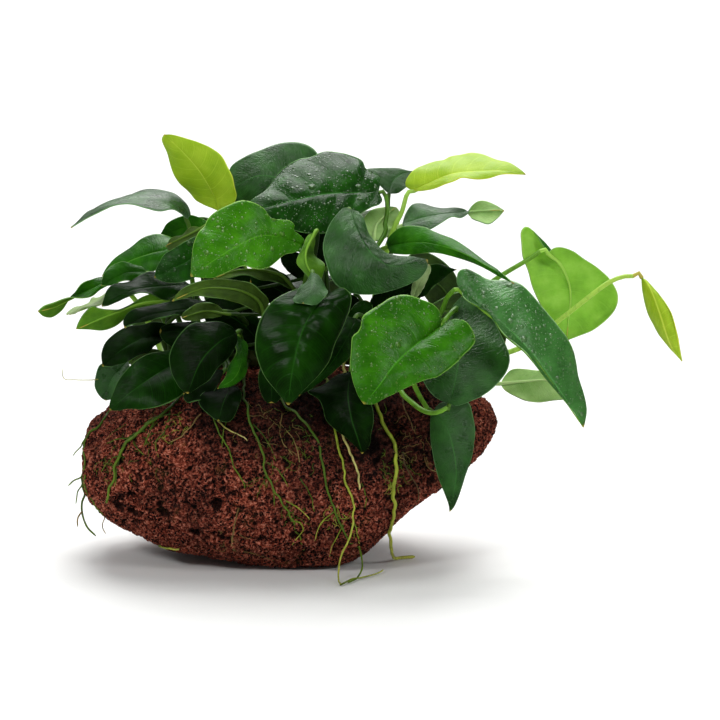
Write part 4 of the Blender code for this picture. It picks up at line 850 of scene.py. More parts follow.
rearLeaves = dict(
    pale_edge_left=dict(finish="pale", top="up", widest=0.45,
        spine=[(-78, 15, 115), (-86, 10, 110), (-98, 7, 105)],
        edges=[(-88, 20, 110), (-86, 0, 110)]),
    twisted_left=dict(finish="green",
        spine=[(-72, 10, 121.5), (-79.5, 6, 120), (-87, 2, 117), (-94.5, -3, 114), (-101.5, -6, 110.5),
            (-108.8, -8, 108.5)],
        margins=[[(-76.5, 12, 122.5), (-82, 9, 122), (-86.5, 4, 121), (-90.5, 0, 119.5), (-93, -2, 116.5),
            (-96, -3, 113), (-99, -4, 108), (-103, -5, 105), (-106.5, -7, 106)],
            [(-78, 6, 118.5), (-82.5, 2, 117), (-85.5, -1, 114.5), (-89, -3, 113.5), (-92.5, -4, 113.5),
            (-96, -6, 114), (-100, -8, 113.5), (-105, -9, 111.5)]]),
    round_left=dict(finish="green", spine=[(-62.5, 2, 124.5), (-71.5, -2, 124.5), (-81.5, -5, 119.5)],
        margins=[[(-65, 3, 127), (-69.5, 2, 128), (-73.5, 1, 128.5), (-77.5, -1, 127.5), (-80, -3, 124.5),
            (-81, -4, 122)],
            [(-65, -2, 122.5), (-69, -4, 121.5), (-74, -5, 120.5), (-79, -6, 119.5)]]),
    dark_left_upper=dict(finish="green",
        spine=[(-51.5, 9, 134), (-61.5, 10, 131.5), (-72, 13, 127.5), (-83, 16, 121)],
        margins=[[(-51.5, 16, 138), (-57, 19, 139.5), (-62, 20, 138.5), (-67.5, 20, 136.5),
            (-72.5, 19, 133), (-77.5, 18, 128.5), (-81, 17, 124.5)],
            [(-53.5, 5, 129.5), (-58, 4, 126), (-62.5, 5, 124), (-67, 6, 121.5), (-74, 10, 121),
            (-79.5, 14, 121)]]),
    arched_left=dict(finish="sheen", top="up",
        spine=[(-44, 0, 148), (-46, 0, 153), (-53.5, -1, 156.5), (-64.5, -2, 157), (-76.5, -4, 155),
            (-86.5, -6, 150.5), (-94, -8, 145)],
        stem=[(-40.5, 2, 137), (-43, 1, 142)],
        margins=[[(-43, 6, 150), (-45, 10, 154.5), (-50, 13, 158), (-56, 14, 158.5), (-63, 13, 158.5),
            (-70, 12, 157.5), (-76.5, 9, 155.5), (-83, 4, 152.5), (-88.5, -2, 150)],
            [(-47, -6, 150.5), (-50, -10, 153), (-55, -13, 153.5), (-61, -14, 154.5), (-67.5, -14, 155),
            (-75.5, -13, 154), (-82, -11, 152), (-88, -9, 149)]]),
    rear_left_low=dict(finish="mature", top="back", widest=0.42,
        spine=[(-40, 28, 104), (-52, 42, 105), (-66, 52, 95), (-76, 56, 78)],
        edges=[(-55, 42, 114), (-63, 55, 86)]),
    back_left_small=dict(finish="green", spine=[(-36.5, 20, 139.5), (-44.5, 23, 142.5), (-58, 26, 138.5)],
        margins=[[(-37, 22, 144.5), (-40, 23, 146.5), (-45, 24, 147.5), (-50, 24, 146.5), (-54.5, 25, 144),
            (-56.5, 26, 141)],
            [(-40, 20, 138.5), (-44.5, 21, 137.5), (-50, 23, 137.5), (-54.5, 25, 137.5)]]),
    strip_left=dict(finish="mature", top="back", under="oliveUnder",
        spine=[(-34.5, -8, 145.5), (-42, -12, 142), (-52.5, -14, 137.5)],
        margins=[[(-40, -6, 144.5), (-46, -8, 142), (-50.5, -11, 140)],
            [(-36, -11, 143), (-41, -14, 140), (-46.5, -16, 137), (-50.5, -16, 136)]]),
    lime_top=dict(finish="lime",
        spine=[(-31, 8, 151), (-33, 7, 158), (-38.5, 5, 168), (-46, 4, 177), (-54, 4, 184.5)],
        margins=[[(-34.5, 9, 152.5), (-38, 10, 154), (-41.5, 11, 155.5), (-44.5, 12, 158.5), (-48, 12, 163),
            (-51.5, 11, 170), (-53.5, 9, 176.5), (-55, 6, 182)],
            [(-27.5, 5, 153), (-24.5, 3, 154), (-23, 2, 157.5), (-23.5, 0, 162), (-24, 0, 166.5),
            (-26, 0, 170.5), (-29, 0, 175), (-33.5, 1, 178), (-39, 2, 181), (-44, 3, 183),
            (-50, 4, 184.5)]]),
    rear_left_high=dict(finish="mature", top="back", widest=0.42,
        spine=[(-22, 26, 130), (-32, 38, 136), (-46, 50, 134), (-60, 58, 122)],
        edges=[(-38, 40, 145), (-44, 56, 122)]),
    rear_middle=dict(finish="mature", top="back", widest=0.42,
        spine=[(0, 28, 114), (2, 44, 119), (4, 60, 112), (6, 67.7, 94)],
        edges=[(-16, 52, 112), (23, 52, 114)]),
    back_top=dict(finish="sheen", quilt=0.35, crown=0.0,
        spine=[(11.5, 24, 152.5), (2, 29, 160), (-13, 32, 164.5), (-28, 31, 158)],
        margins=[[(14, 29, 159), (14, 35, 167.5), (11, 40, 174.5), (4, 41, 178), (-5, 40, 178.5),
            (-14, 38, 175.5), (-20.5, 36, 172.5), (-27, 34, 167.5)],
            [(6.5, 20, 149), (-2.5, 22, 147.5), (-12.5, 24, 148), (-20, 26, 149.5), (-26, 29, 152.5)]]),
    rear_middle_high=dict(finish="mature", top="back", widest=0.42,
        spine=[(16, 22, 136), (20, 38, 149), (27, 52, 150), (34, 64, 138)],
        edges=[(6, 50, 151), (42, 44, 147)]),
    pale_behind=dict(finish="mature", top="back", widest=0.45, under="paleUnder",
        spine=[(37, 14, 137), (39, 20, 144), (47, 24, 151)],
        edges=[(32, 20, 145), (47, 18, 142)]),
    rear_right=dict(finish="mature", top="back", widest=0.42,
        spine=[(42, 26, 114), (54, 42, 120), (68, 54, 112), (78, 60, 94)],
        edges=[(60, 42, 129), (64, 56, 102)]),
    twisted_tip_right=dict(finish="sheen", under="paleUnder",
        spine=[(49.5, 12, 144.5), (59.5, 14, 147.5), (70.5, 16, 149), (78.5, 16, 149.5), (86, 15, 150),
            (94.5, 14, 150.5)],
        margins=[[(51, 16, 148), (54, 19, 152), (58.5, 21, 153), (63, 21, 152), (68.5, 20, 151),
            (74.5, 18, 151), (78, 17, 150), (80, 14, 147), (83.5, 11, 145.5), (87.5, 10, 144.5),
            (91, 12, 147)],
            [(51, 9, 143), (56.5, 8, 143), (61, 8, 143), (66.5, 9, 145), (71.5, 11, 147.5),
            (75.5, 13, 147.5), (78.5, 14, 149.5), (80, 17, 151.5), (83, 18, 154), (86.5, 18, 154.5),
            (90.5, 17, 153)]]),
    grey_back_right=dict(finish="sheen",
        spine=[(44, 28, 156.5), (45.5, 32, 161.5), (50, 35, 165), (56.5, 36, 166.5)],
        margins=[[(41, 29, 159), (37, 31, 163), (33.5, 34, 167), (39, 36, 167), (48, 37, 167.5),
            (52.5, 37, 165.5)],
            [(48, 30, 157), (51.5, 31, 159), (54, 33, 162), (55.5, 35, 164.5)]]),
    rear_right_low=dict(finish="mature", top="back", widest=0.42,
        spine=[(56, 24, 100), (70, 32, 104), (86, 40, 99), (97, 42, 87)],
        edges=[(78, 28, 112), (84, 46, 90)]),
    pale_cordate=dict(finish="green", top="back", under="limeUnder", petiole="fresh",
        spine=[(113.5, 8, 132.5), (119, 11, 128), (123, 14, 119), (124, 14, 111), (123, 12, 101),
            (122, 8, 93.5)],
        stem=[(79, 6, 112), (91, 8, 121), (104, 8, 129)],
        margins=[[(110.5, 10, 136.5), (108.5, 12, 139.5), (106.5, 13, 142), (104, 13, 143.5),
            (102, 13, 141.5), (102, 11, 136.5), (102.5, 9, 130.5), (105, 8, 124.5), (107, 8, 117.5),
            (110.5, 8, 109.5), (115.5, 8, 102.5), (119, 8, 97.5)],
            [(116.5, 9, 134.5), (121, 10, 134.5), (126, 11, 132.5), (131, 13, 128.5), (137, 14, 124),
            (142, 15, 119.5), (145, 16, 113.5), (144.5, 15, 108), (141, 13, 103), (134.5, 11, 98),
            (127.5, 9, 95.5)]]),
    pale_right_low=dict(finish="mature", top="back", under="paleUnder",
        spine=[(93, 8, 74), (104, 5, 75.5), (114.5, 3, 76), (124.5, 2, 69.5)],
        margins=[[(95, 9, 77.5), (98.5, 9, 80.5), (103.5, 8, 81), (109, 7, 80.5), (114.5, 5, 79.5),
            (120, 3, 75.5)],
            [(95, 6, 71.5), (99, 3, 69.5), (104, 1, 67.5), (110, -1, 67.5), (115.5, -1, 68),
            (121, 0, 68.5)]]),
)

# small dark leaves deep in the crown, which the source leaves out. Their darkness is painted shade, from the
# deep skin.
innerLeaves = dict(
    behind_rolled=dict(spine=[(16.5, -13, 129), (12.5, -15, 136), (14.5, -15, 146.5)],
        edges=[(9, -15, 137), (17, -13, 139.5)]),
    under_wet=dict(spine=[(9.5, -5, 121.5), (4, -8, 127.5), (-2.5, -8, 133)],
        edges=[(0.5, -8, 125.5), (7, -8, 132)]),
    behind_arch=dict(widest=0.45, spine=[(3, -3, 110), (-4.5, -8, 118), (-16.5, -10, 121.5)],
        edges=[(-9.5, -10, 113), (-3.5, -6, 125.5)]),
    left_band=dict(widest=0.45, spine=[(-11, 0, 116), (-23, -5, 122), (-37, -8, 123.5)],
        edges=[(-23.5, -8, 116), (-22, -2, 127.5)]),
    left_hollow=dict(widest=0.45, spine=[(-10, -6, 91.5), (-21, -10, 104), (-36, -14, 112.5)],
        edges=[(-28.5, -12, 98.5), (-19.5, -8, 112)]),
    left_low=dict(widest=0.45, spine=[(-21, -12, 94.5), (-35.5, -20, 100), (-54.5, -26, 102.5)],
        edges=[(-39.5, -24, 93), (-38, -18, 105)]),
    olive_left=dict(finish="mature", top="back", widest=0.45, under="oliveUnder",
        spine=[(-27, -30, 110.5), (-34.5, -33, 112), (-44.5, -36, 109.5)],
        edges=[(-35.5, -33, 115.5), (-35.5, -33, 108.5)]),
    centre_right=dict(spine=[(32.5, -12, 93), (28, -17, 106), (25, -17, 117)],
        edges=[(21, -17, 106), (34.5, -13, 107.5)]),
    under_sheen=dict(spine=[(37, -5, 103.5), (44, -8, 113.5), (55.5, -8, 120.5)],
        edges=[(39, -8, 118), (51, -8, 112)]),
    wet_shade=dict(spine=[(14, -4, 133), (8, -8, 139), (0, -8, 144)], edges=[(5, -8, 134), (11, -6, 145)]),
    stipule=dict(finish="mature", under="oliveUnder",
        spine=[(27, -22, 103), (31, -24, 110), (34.5, -24, 115)], edges=[(27, -23, 111), (35, -24, 108)]),
    pale_strip=dict(finish="pale", spine=[(54, -12, 115), (57, -14, 122.5), (61, -14, 129.5)],
        edges=[(54.5, -14, 123), (59, -14, 121)]),
)

# what all leaves share, in millimetres unless it says otherwise
leafForm = dict(
    rows=64, columns=36, thickness=0.5, top="front", curl=(0, 1, 0), roll=False,
    crown=0.045, waveHeight=1.0, waveCount=2.2, waveOffset=2.0,   # crown: share of a half's reach
    sideVeins=8, veinSweep=0.24, veinBend=1.3, quilt=0.07, groove=0.14, grooveWidth=0.05,
    ripple=0.7, rippleSpacing=15.0, fineRipple=0.16, fineSpacing=4.5,
    petioleRadii=(2.1, 1.35, 1.15, 0.95), petioleRadiusPlaces=(0, 0.15, 0.5, 1),
    petiolePoints=24, petioleRise=0.40, leadIn=11.0, leadInShare=0.3,   # rise, share: of its span
    stemPoints=34, stemRise=4.0, stemLeadIn=3.0,   # the same for a petiole whose course is given
    buried=1.5, hugging=6.0, sides=10,
    ribRadii=(0.85, 0.5, 0.15), ribRadiusPlaces=(0, 0.4, 1), ribStep=6, ribDive=0.05,
)
hiddenForm = leafForm | dict(rows=44, columns=26)   # behind the crown, where the camera can't see
# the inner leaves wear the deep skin: painted shade
innerForm = hiddenForm | dict(
    finish="deep", widest=0.5, petioleRadii=(1.3, 0.9, 0.8, 0.7), ribRadii=(0.6, 0.4, 0.15),
)
facings = dict(front=(0, -1, 0), back=(0, 1, 0), up=(0, 0, 1))
# rows of buds on the rhizome: degrees from straight up, towards the front
rowAngles = dict(front=62, top=8, rear=-50, inner=30)
rowZigzag, rowFan = 9, 0.9   # every second bud to the other side; how far the row's ends lean out


def leafStarts(rows):
    # where each petiole leaves the rhizome and in which direction, as in the CAD model
    starts = {}
    reach = (rhizomeLook["radius"] + rhizomeLook["budHeight"] + rhizomeLook["gap"]) / 1000
    for row, leaves in rows.items():
        for k, name in enumerate(leaves):
            share = (k + 0.5) / len(leaves)
            lean = math.radians(rowAngles[row] + (rowZigzag if k % 2 else -rowZigzag))
            outward = Vector((rowFan * (share - 0.5), -math.sin(lean), math.cos(lean))).normalized()
            place = share * (len(axis) - 1)
            first = min(int(place), len(axis) - 2)
            starts[name] = (axis[first].lerp(axis[first + 1], place - first) + reach * outward, outward)
    return starts


def halfWidth(widest, v):
    # a plain blade's width at v, as a share of its widest
    taper = 0.5 * (1 - widest) / widest
    return v**0.5 * (1 - v) ** taper / (widest**0.5 * (1 - widest) ** taper)


def bladeFrames(leaf, steps=200):
    # along the spine: its points, its directions, the way to each margin, and the way up
    spine = smoothCourse([mm(p) for p in leaf["spine"]], steps + 1)
    tangents = tangentsOf(spine)
    reaches = []
    if "margins" in leaf:
        for side in leaf["margins"]:
            margin = smoothCourse([spine[0], *(mm(p) for p in side), spine[-1]], steps + 1)
            reaches.append([edge - point for edge, point in zip(margin, spine)])
    else:
        at = round(leaf["widest"] * steps)
        for edge in leaf["edges"]:
            reach = mm(edge) - spine[at]
            turned = [tangents[at].rotation_difference(tangent) @ reach for tangent in tangents]
            reaches.append([turned[k] * halfWidth(leaf["widest"], k / steps) for k in range(steps + 1)])
    middle = steps // 2
    across = reaches[1][middle] - reaches[0][middle]
    if across.cross(tangents[middle]).dot(Vector(facings[leaf["top"]])) < 0:
        reaches.reverse()
    ups = []
    for k in range(steps + 1):
        near = min(max(k, 6), steps - 6)   # both ends are too narrow to tell which way is up
        ups.append((reaches[1][near] - reaches[0][near]).cross(tangents[near]).normalized())
    return spine, tangents, *reaches, ups


def rolledMargin(share, inner, degrees, mid, reach, span, up):
    # the blade past inner rolls over its upper side: an arc instead of the flat outer strip
    angle = math.radians(degrees)
    turned = (share - inner) / (1 - inner) * angle
    radius = ((1 - inner) * span / angle)[:, None]
    unit = reach / np.maximum(span, 1e-6)[:, None]
    return mid + inner * reach + unit * radius * math.sin(turned) + up * radius * (1 - math.cos(turned))


def bladePoints(leaf, seed):
    # the blade's middle surface, row by row, with its veins and ripples; also u, v and vein rank
    frames = bladeFrames(leaf)
    # the rows are closer at the petiole, and neither end comes to nothing
    v = 0.002 + 0.996 * np.linspace(0, 1, leaf["rows"] + 1) ** 1.2
    spread = np.linspace(-1, 1, leaf["columns"] + 1)
    u = spread * np.abs(spread) ** 0.3   # closer columns at the midrib
    at = v * (len(frames[0]) - 1)
    first = np.minimum(at.astype(int), len(frames[0]) - 2)
    share = (at - first)[:, None]
    mid, _, left, right, up = [rows[first] * (1 - share) + rows[first + 1] * share
                               for rows in (np.array([tuple(r) for r in kind]) for kind in frames)]
    if leaf["roll"]:
        return rolledPoints(leaf, v, u, mid, right, up)
    points = np.zeros((len(v), len(u), 3))
    ranks = np.zeros((len(v), len(u)))
    width = np.maximum(np.linalg.norm(left, axis=1), np.linalg.norm(right, axis=1))
    width = width / width.max()
    side, inner, degrees = leaf["curl"]
    for column, across in enumerate(u):
        out = abs(across)
        reach = right if across > 0 else left
        span = np.linalg.norm(reach, axis=1)
        lift = leaf["crown"] * span * math.sin(math.pi * out)
        phase = leaf["waveOffset"] if across > 0 else 0.0
        wave = np.sin(2 * math.pi * leaf["waveCount"] * v + phase)
        lift += leaf["waveHeight"] / 1000 * out**3 * width * wave
        # a groove over the midrib, which fades at both ends
        trough = math.exp(-((out / leaf["grooveWidth"]) ** 2))
        lift -= leaf["groove"] / 1000 * trough * np.clip(v / 0.05, 0, 1) * (1 - v) ** 0.5
        # the side veins sweep forward, less so near the tip, and the flesh is puffed up between them
        rank = (v - leaf["veinSweep"] * out ** leaf["veinBend"] * (1 - 0.4 * v)) * leaf["sideVeins"]
        puff = (0.5 - 0.5 * np.cos(2 * math.pi * rank)) ** 0.7
        puff = puff * min(1.0, out / 0.15) * (1 - out**2.5)   # flat at the midrib and the margin
        lift += leaf["quilt"] / 1000 * puff * np.minimum(1, width * 1.2)
        ranks[:, column] = rank
        flat = mid + out * reach
        if side * across > 0 and out > inner:
            flat = rolledMargin(out, inner, degrees, mid, reach, span, up)
        points[:, column] = flat + lift[:, None] * up
    for row in range(len(v)):
        for column in range(len(u)):
            point = Vector(points[row, column]) * 1000
            ripple = leaf["ripple"] * noise.noise(point / leaf["rippleSpacing"] + Vector((seed, 0, 0)))
            ripple += leaf["fineRipple"] * noise.noise(point / leaf["fineSpacing"] + Vector((0, seed, 0)))
            # the stiff midrib ripples a quarter as much
            points[row, column] += up[row] * ripple / 1000 * (0.25 + 0.75 * min(1, abs(u[column]) * 2))
    return points, u, v, ranks


# a leaf still rolled round itself: its thickness along it, and its half turns and slant in radians
budForm = dict(
    places=(0, 0.06, 0.3, 0.55, 0.8, 0.93, 1), radii=(0.30, 0.62, 1.0, 0.95, 0.62, 0.3, 0.06),
    turns=1.45, slant=2.2, start=0.6, overlap=0.10, sideVeins=9,
)


def rolledPoints(leaf, v, u, mid, right, up):
    # a spindle whose outer edge runs down it in a slant
    points = np.zeros((len(v), len(u), 3))
    reach = np.linalg.norm(right, axis=1)
    radius = np.interp(v, budForm["places"], budForm["radii"]) * reach
    side = right / reach[:, None]
    for column, across in enumerate(u):
        turn = math.pi * budForm["turns"] * across + budForm["slant"] * v + budForm["start"]
        away = radius * (1 - budForm["overlap"] + budForm["overlap"] * across)
        points[:, column] = mid + away[:, None] * (np.cos(turn)[:, None] * side - np.sin(turn)[:, None] * up)
    ranks = v[:, None] - leaf["veinSweep"] * np.abs(u)[None, :] ** leaf["veinBend"]
    return points, u, v, ranks * budForm["sideVeins"]


def addBlade(leaf, seed):
    points, u, v, ranks = bladePoints(leaf, seed)
    bpy.ops.mesh.primitive_grid_add(x_subdivisions=leaf["columns"], y_subdivisions=leaf["rows"], size=2)
    blade = bpy.context.object
    mesh = blade.data
    flat = np.empty(len(mesh.vertices) * 3)
    mesh.vertices.foreach_get("co", flat)
    flat = flat.reshape(-1, 3)
    columns = np.rint((flat[:, 0] + 1) / 2 * leaf["columns"]).astype(int)
    rows = np.rint((flat[:, 1] + 1) / 2 * leaf["rows"]).astype(int)
    mesh.vertices.foreach_set("co", points[rows, columns].ravel())
    storeNumbers(mesh, "across", u[columns])
    storeNumbers(mesh, "along", v[rows])
    storeNumbers(mesh, "vein", ranks[rows, columns])
    mesh.shade_smooth()
    thick = blade.modifiers.new("two skins", "SOLIDIFY")
    thick.thickness, thick.offset, thick.material_offset = leaf["thickness"] / 1000, 0.0, 1
    top, under, _ = leafFinishes[leaf["finish"]]
    mesh.materials.append(leafMaterials[top])
    mesh.materials.append(leafMaterials[leaf.get("under", under)])
    bpy.ops.object.modifier_apply(modifier=thick.name)
    return blade


def petiolePath(leaf, start, outward, base, ahead):
    # from the rhizome to the blade's base, through the stem's points where the leaf has them
    if "stem" in leaf:
        passed = [mm(p) for p in leaf["stem"]]
        rise, leadIn = leaf["stemRise"] / 1000 * outward, leaf["stemLeadIn"] / 1000 * ahead
        return smoothCourse([start, start + rise, *passed, base - leadIn, base], leaf["stemPoints"])
    span = (base - start).length
    leadIn = min(leaf["leadInShare"] * span, leaf["leadIn"] / 1000)
    handles = start, start + leaf["petioleRise"] * span * outward, base - leadIn * ahead, base
    path = []
    for t in np.linspace(0, 1, leaf["petiolePoints"]):
        weights = ((1 - t) ** 3, 3 * t * (1 - t) ** 2, 3 * t * t * (1 - t), t**3)
        path.append(sum((float(w) * p for w, p in zip(weights, handles)), Vector()))
    return path


def petioleCourse(leaf, start, outward):
    # the petiole's path and radii with the midrib's after them, and how many points are petiole
    spine, tangents, _, _, ups = bladeFrames(leaf)
    foot = start - outward * (rhizomeLook["budHeight"] + leaf["buried"]) / 1000
    path = [foot, *petiolePath(leaf, start, outward, spine[0], tangents[0])]
    count = len(path)
    radii = list(np.interp(np.linspace(0, 1, count), leaf["petioleRadiusPlaces"], leaf["petioleRadii"]))
    half = leaf["thickness"] / 2
    for k in range(count):
        # it comes in just under the blade's upper skin
        near = math.exp(-(path[k] - spine[0]).length / (leaf["hugging"] / 1000))
        path[k] = path[k] - ups[0] * near * (radii[k] - half) / 1000
    if not leaf["roll"]:
        # on under the blade as its midrib
        for k in range(leaf["ribStep"], len(spine) - 4, leaf["ribStep"]):
            share = k / (len(spine) - 1)
            radius = float(np.interp(share, leaf["ribRadiusPlaces"], leaf["ribRadii"]))
            sink = radius - half + (2 * half - 0.1 * radius) * min(1.0, share / leaf["ribDive"])
            path.append(spine[k] - ups[k] * sink / 1000)
            radii.append(radius)
    return path, [r / 1000 for r in radii], count


def addLeaf(node, leaf, seed, start, outward):
    blade = addBlade(leaf, seed)
    path, radii, petioleEnd = petioleCourse(leaf, start, outward)
    stem = addStrand(path, radii, leaf["sides"])
    _, under, petiole = leafFinishes[leaf["finish"]]
    stem.data.materials.append(strandMaterials[leaf.get("petiole", petiole) + "Petiole"])
    stem.data.materials.append(leafMaterials[leaf.get("under", under)])
    for face in stem.data.polygons:
        face.material_index = int(min(face.vertices) // leaf["sides"] >= petioleEnd - 1)
    return joinPieces([blade, stem], pieceName(node))


slots = {part["node"]: part["material_slot"] for part in frame["record"]["subparts"]}
starts = leafStarts(dict(front=frontLeaves, top=topLeaves, rear=rearLeaves, inner=innerLeaves))
outerLeaves = frontLeaves | topLeaves | rearLeaves
for order, (name, leaf) in enumerate(outerLeaves.items()):
    node = "leaf_" + name
    form = hiddenForm if name.startswith("rear") else leafForm
    handOver(addLeaf(node, form | leaf, order * 3.7, *starts[name]), slots[node], node)
for order, (name, leaf) in enumerate(innerLeaves.items()):
    piece = addLeaf("leaf_inner_" + name, innerForm | leaf, 200 + order, *starts[name])
    handOver(piece, slots["leaf_central_dark"])
print("leaves made:", len(outerLeaves) + len(innerLeaves))


# Roots: where along the rhizome each one starts, then its course in millimetres. Two numbers,
# (across, up), lie on the stone's front; three, (across, to the back, up), on top or in the air.
# radii are at its start and tip, in millimetres.
mainRoots = dict(
    left_edge=dict(skin="greenRoot", radii=(0.95, 0.42), start=-54, course=[(-64, -7, 78), (-75, 67),
        (-81, 60), (-86, 56), (-88, 51), (-87, 44), (-87, 34), (-84, 27), (-80, 22)]),
    left_thick=dict(skin="greenRoot", radii=(1.05, 0.85), start=-46, course=[(-44, -16, 82), (-44, 76),
        (-50, 70), (-59, 64), (-68, 56), (-72, 50), (-73, 43), (-76, 34), (-77, 30)]),
    left_middle=dict(skin="greenRoot", radii=(0.75, 0.3), start=-32, course=[(-32, -18, 83), (-31, 73),
        (-29, 65), (-24, 56), (-22, 49), (-18, 43), (-17, 39)]),
    middle=dict(skin="greenRoot", radii=(0.95, 0.4), start=-17, course=[(-19, -15, 84), (-18, 76),
        (-15, 67), (-11, 58), (-9, 50), (-6, 42), (-3, 36), (1, 30), (5, 20), (8, 11)]),
    middle_right=dict(skin="greenRoot", radii=(0.85, 0.5), start=-5, course=[(-4, -16, 84), (-2, 74),
        (4, 70), (9, 66), (14, 56), (16, 47), (17, 40), (20, 31), (24, 21), (30, 12), (32, -48, 5),
        (30, -54, 1), (26, -62, 1)]),
    right_inner=dict(skin="yellowRoot", radii=(0.85, 0.5), start=12, course=[(15, -18, 84), (19, 72),
        (21, 60), (24, 48), (25, 41), (28, 34), (28, 28), (27, -56, 20), (23, -53, 10), (22, -52, 4),
        (22, -58, 1), (23, -66, 1)]),
    right_thick=dict(skin="paleRoot", radii=(0.95, 0.6), start=24, course=[(24, -18, 84), (24, 74),
        (24, 62), (27, 54), (30, 45), (31, 39)]),
    right_long=dict(skin="yellowRoot", radii=(1.15, 0.95), start=36, course=[(37, -18, 83), (37, 74),
        (40, 66), (45, 56), (46, 48), (45, 38), (45, 28), (44, -38, 16), (45, -27, 5), (47, -18, 1),
        (55, -15, 1)]),
)
# thin side roots, which the source leaves out: skin, radii, course
sideRoots = [
    ("greenRoot", (0.42, 0.2), [(-49, 69), (-56, 67), (-61, 64)]),
    ("greenRoot", (0.45, 0.2), [(-60, 62), (-65, 60), (-68, 58), (-73, 57), (-78, 54)]),
    ("greenRoot", (0.35, 0.2), [(-65, 57), (-63, 55), (-60, 52)]),
    ("greenRoot", (0.42, 0.2), [(-72, 51), (-77, 47), (-79, 43)]),
    ("greenRoot", (0.4, 0.2), [(-71, 50), (-72, 44), (-73, 38)]),
    ("greenRoot", (0.5, 0.2), [(-49, 70), (-50, 64), (-52, 59)]),
    ("tanRoot", (0.5, 0.2), [(-36, 70), (-39, 66), (-45, 60), (-50, 58)]),
    ("paleRoot", (0.55, 0.3), [(-29, 67), (-24, 64), (-20, 62), (-16, 60)]),
    ("greenRoot", (0.4, 0.2), [(-8, 51), (-3, 48), (0, 43), (1, 41)]),
    ("greenRoot", (0.42, 0.2), [(-6, 42), (-5, 37), (-5, 32)]),
    ("yellowRoot", (0.42, 0.2), [(0, 35), (5, 32), (10, 26)]),
    ("yellowRoot", (0.42, 0.2), [(2, 26), (6, 25), (7, 21), (2, 14)]),
    ("yellowRoot", (0.42, 0.2), [(28, 26), (30, 19), (31, 11)]),
    ("yellowRoot", (0.55, 0.4), [(23, -66, 1), (27, -57, 1), (34, -51, 1), (39, -44, 1), (41, -39, 1)]),
    ("brownRoot", (0.5, 0.25), [(49, 53), (50, 48), (52, 44), (55, 39), (56, 33), (55, 29)]),
    ("brownRoot", (0.55, 0.25), [(48, 75), (50, 70), (53, 64), (54, 61)]),
    ("tanRoot", (0.42, 0.25), [(-20, 31), (-22, 23), (-23, 14), (-22, 11)]),
    ("tanRoot", (0.4, 0.2), [(-23, 11), (-15, 10), (-9, 7), (-2, 3)]),
    ("greenRoot", (0.7, 0.45), [(-87, -6, 39), (-91, -6, 36), (-94, -6, 34), (-97, -6, 31)]),
    ("greenRoot", (0.6, 0.35), [(-91, -6, 36), (-93, -6, 29), (-94, -6, 23)]),
    ("greenRoot", (0.6, 0.3), [(-87, -6, 56), (-92, -6, 49), (-95, -6, 44)]),
    ("greenRoot", (0.75, 0.55), [(-87, -6, 40), (-90, -8, 34), (-91, -8, 27), (-91, -8, 20), (-89, -8, 13),
        (-85, -8, 9)]),
    ("tanRoot", (0.55, 0.4), [(-91, -8, 20), (-93, -8, 17), (-93, -8, 13)]),
    ("tanRoot", (0.4, 0.25), [(-80, 20), (-82, -14, 15), (-80, -14, 11)]),
    ("greenRoot", (0.4, 0.2), [(-56, 67), (-58, 61), (-60, 56)]),
    ("greenRoot", (0.35, 0.2), [(-51, 62), (-55, 58), (-54, 52)]),
    ("tanRoot", (0.3, 0.2), [(-5, 68), (2, 62), (5, 56), (6, 50)]),
    ("greenRoot", (0.35, 0.2), [(-14, 66), (-8, 60), (-4, 52)]),
    ("greenRoot", (0.35, 0.2), [(-24, 72), (-26, 64), (-27, 57)]),
    ("tanRoot", (0.3, 0.2), [(-2, 70), (-2, 60), (3, 54)]),
    ("greenRoot", (0.35, 0.2), [(6, 44), (10, 38), (12, 30)]),
    ("yellowRoot", (0.35, 0.2), [(20, 30), (14, 24), (12, 16)]),
    ("yellowRoot", (0.35, 0.2), [(24, 24), (20, 16), (18, 8)]),
    ("greenRoot", (0.35, 0.2), [(30, 44), (33, 38), (33, 31)]),
    ("brownRoot", (0.4, 0.2), [(62, 62), (64, 55), (62, 48)]),
    ("tanRoot", (0.35, 0.2), [(58, 52), (60, 46), (66, 42)]),
    ("yellowRoot", (1.1, 0.5), [(-56, 8), (-52, 10), (-46, 10)]),
    ("paleRoot", (0.28, 0.2), [(-80.5, -22, 81), (-84, -25, 81), (-90, -25, 81), (-96, -25, 81.5),
        (-96.5, -25, 86)]),
]
# in millimetres; knots, slim and sink are shares of the radius
rootForm = dict(
    step=1.0, settle=2.6, sink=0.05, wobble=0.35, wobbleSpacing=5.0, knots=0.12, knotSpacing=2.5,
    slim=0.72, tip=0.4, sides=8, clearance=0.1, offRhizome=(0, -3.0, -1.0),
)
inFront = -0.18   # metres: a ray from there towards the back meets the stone's front


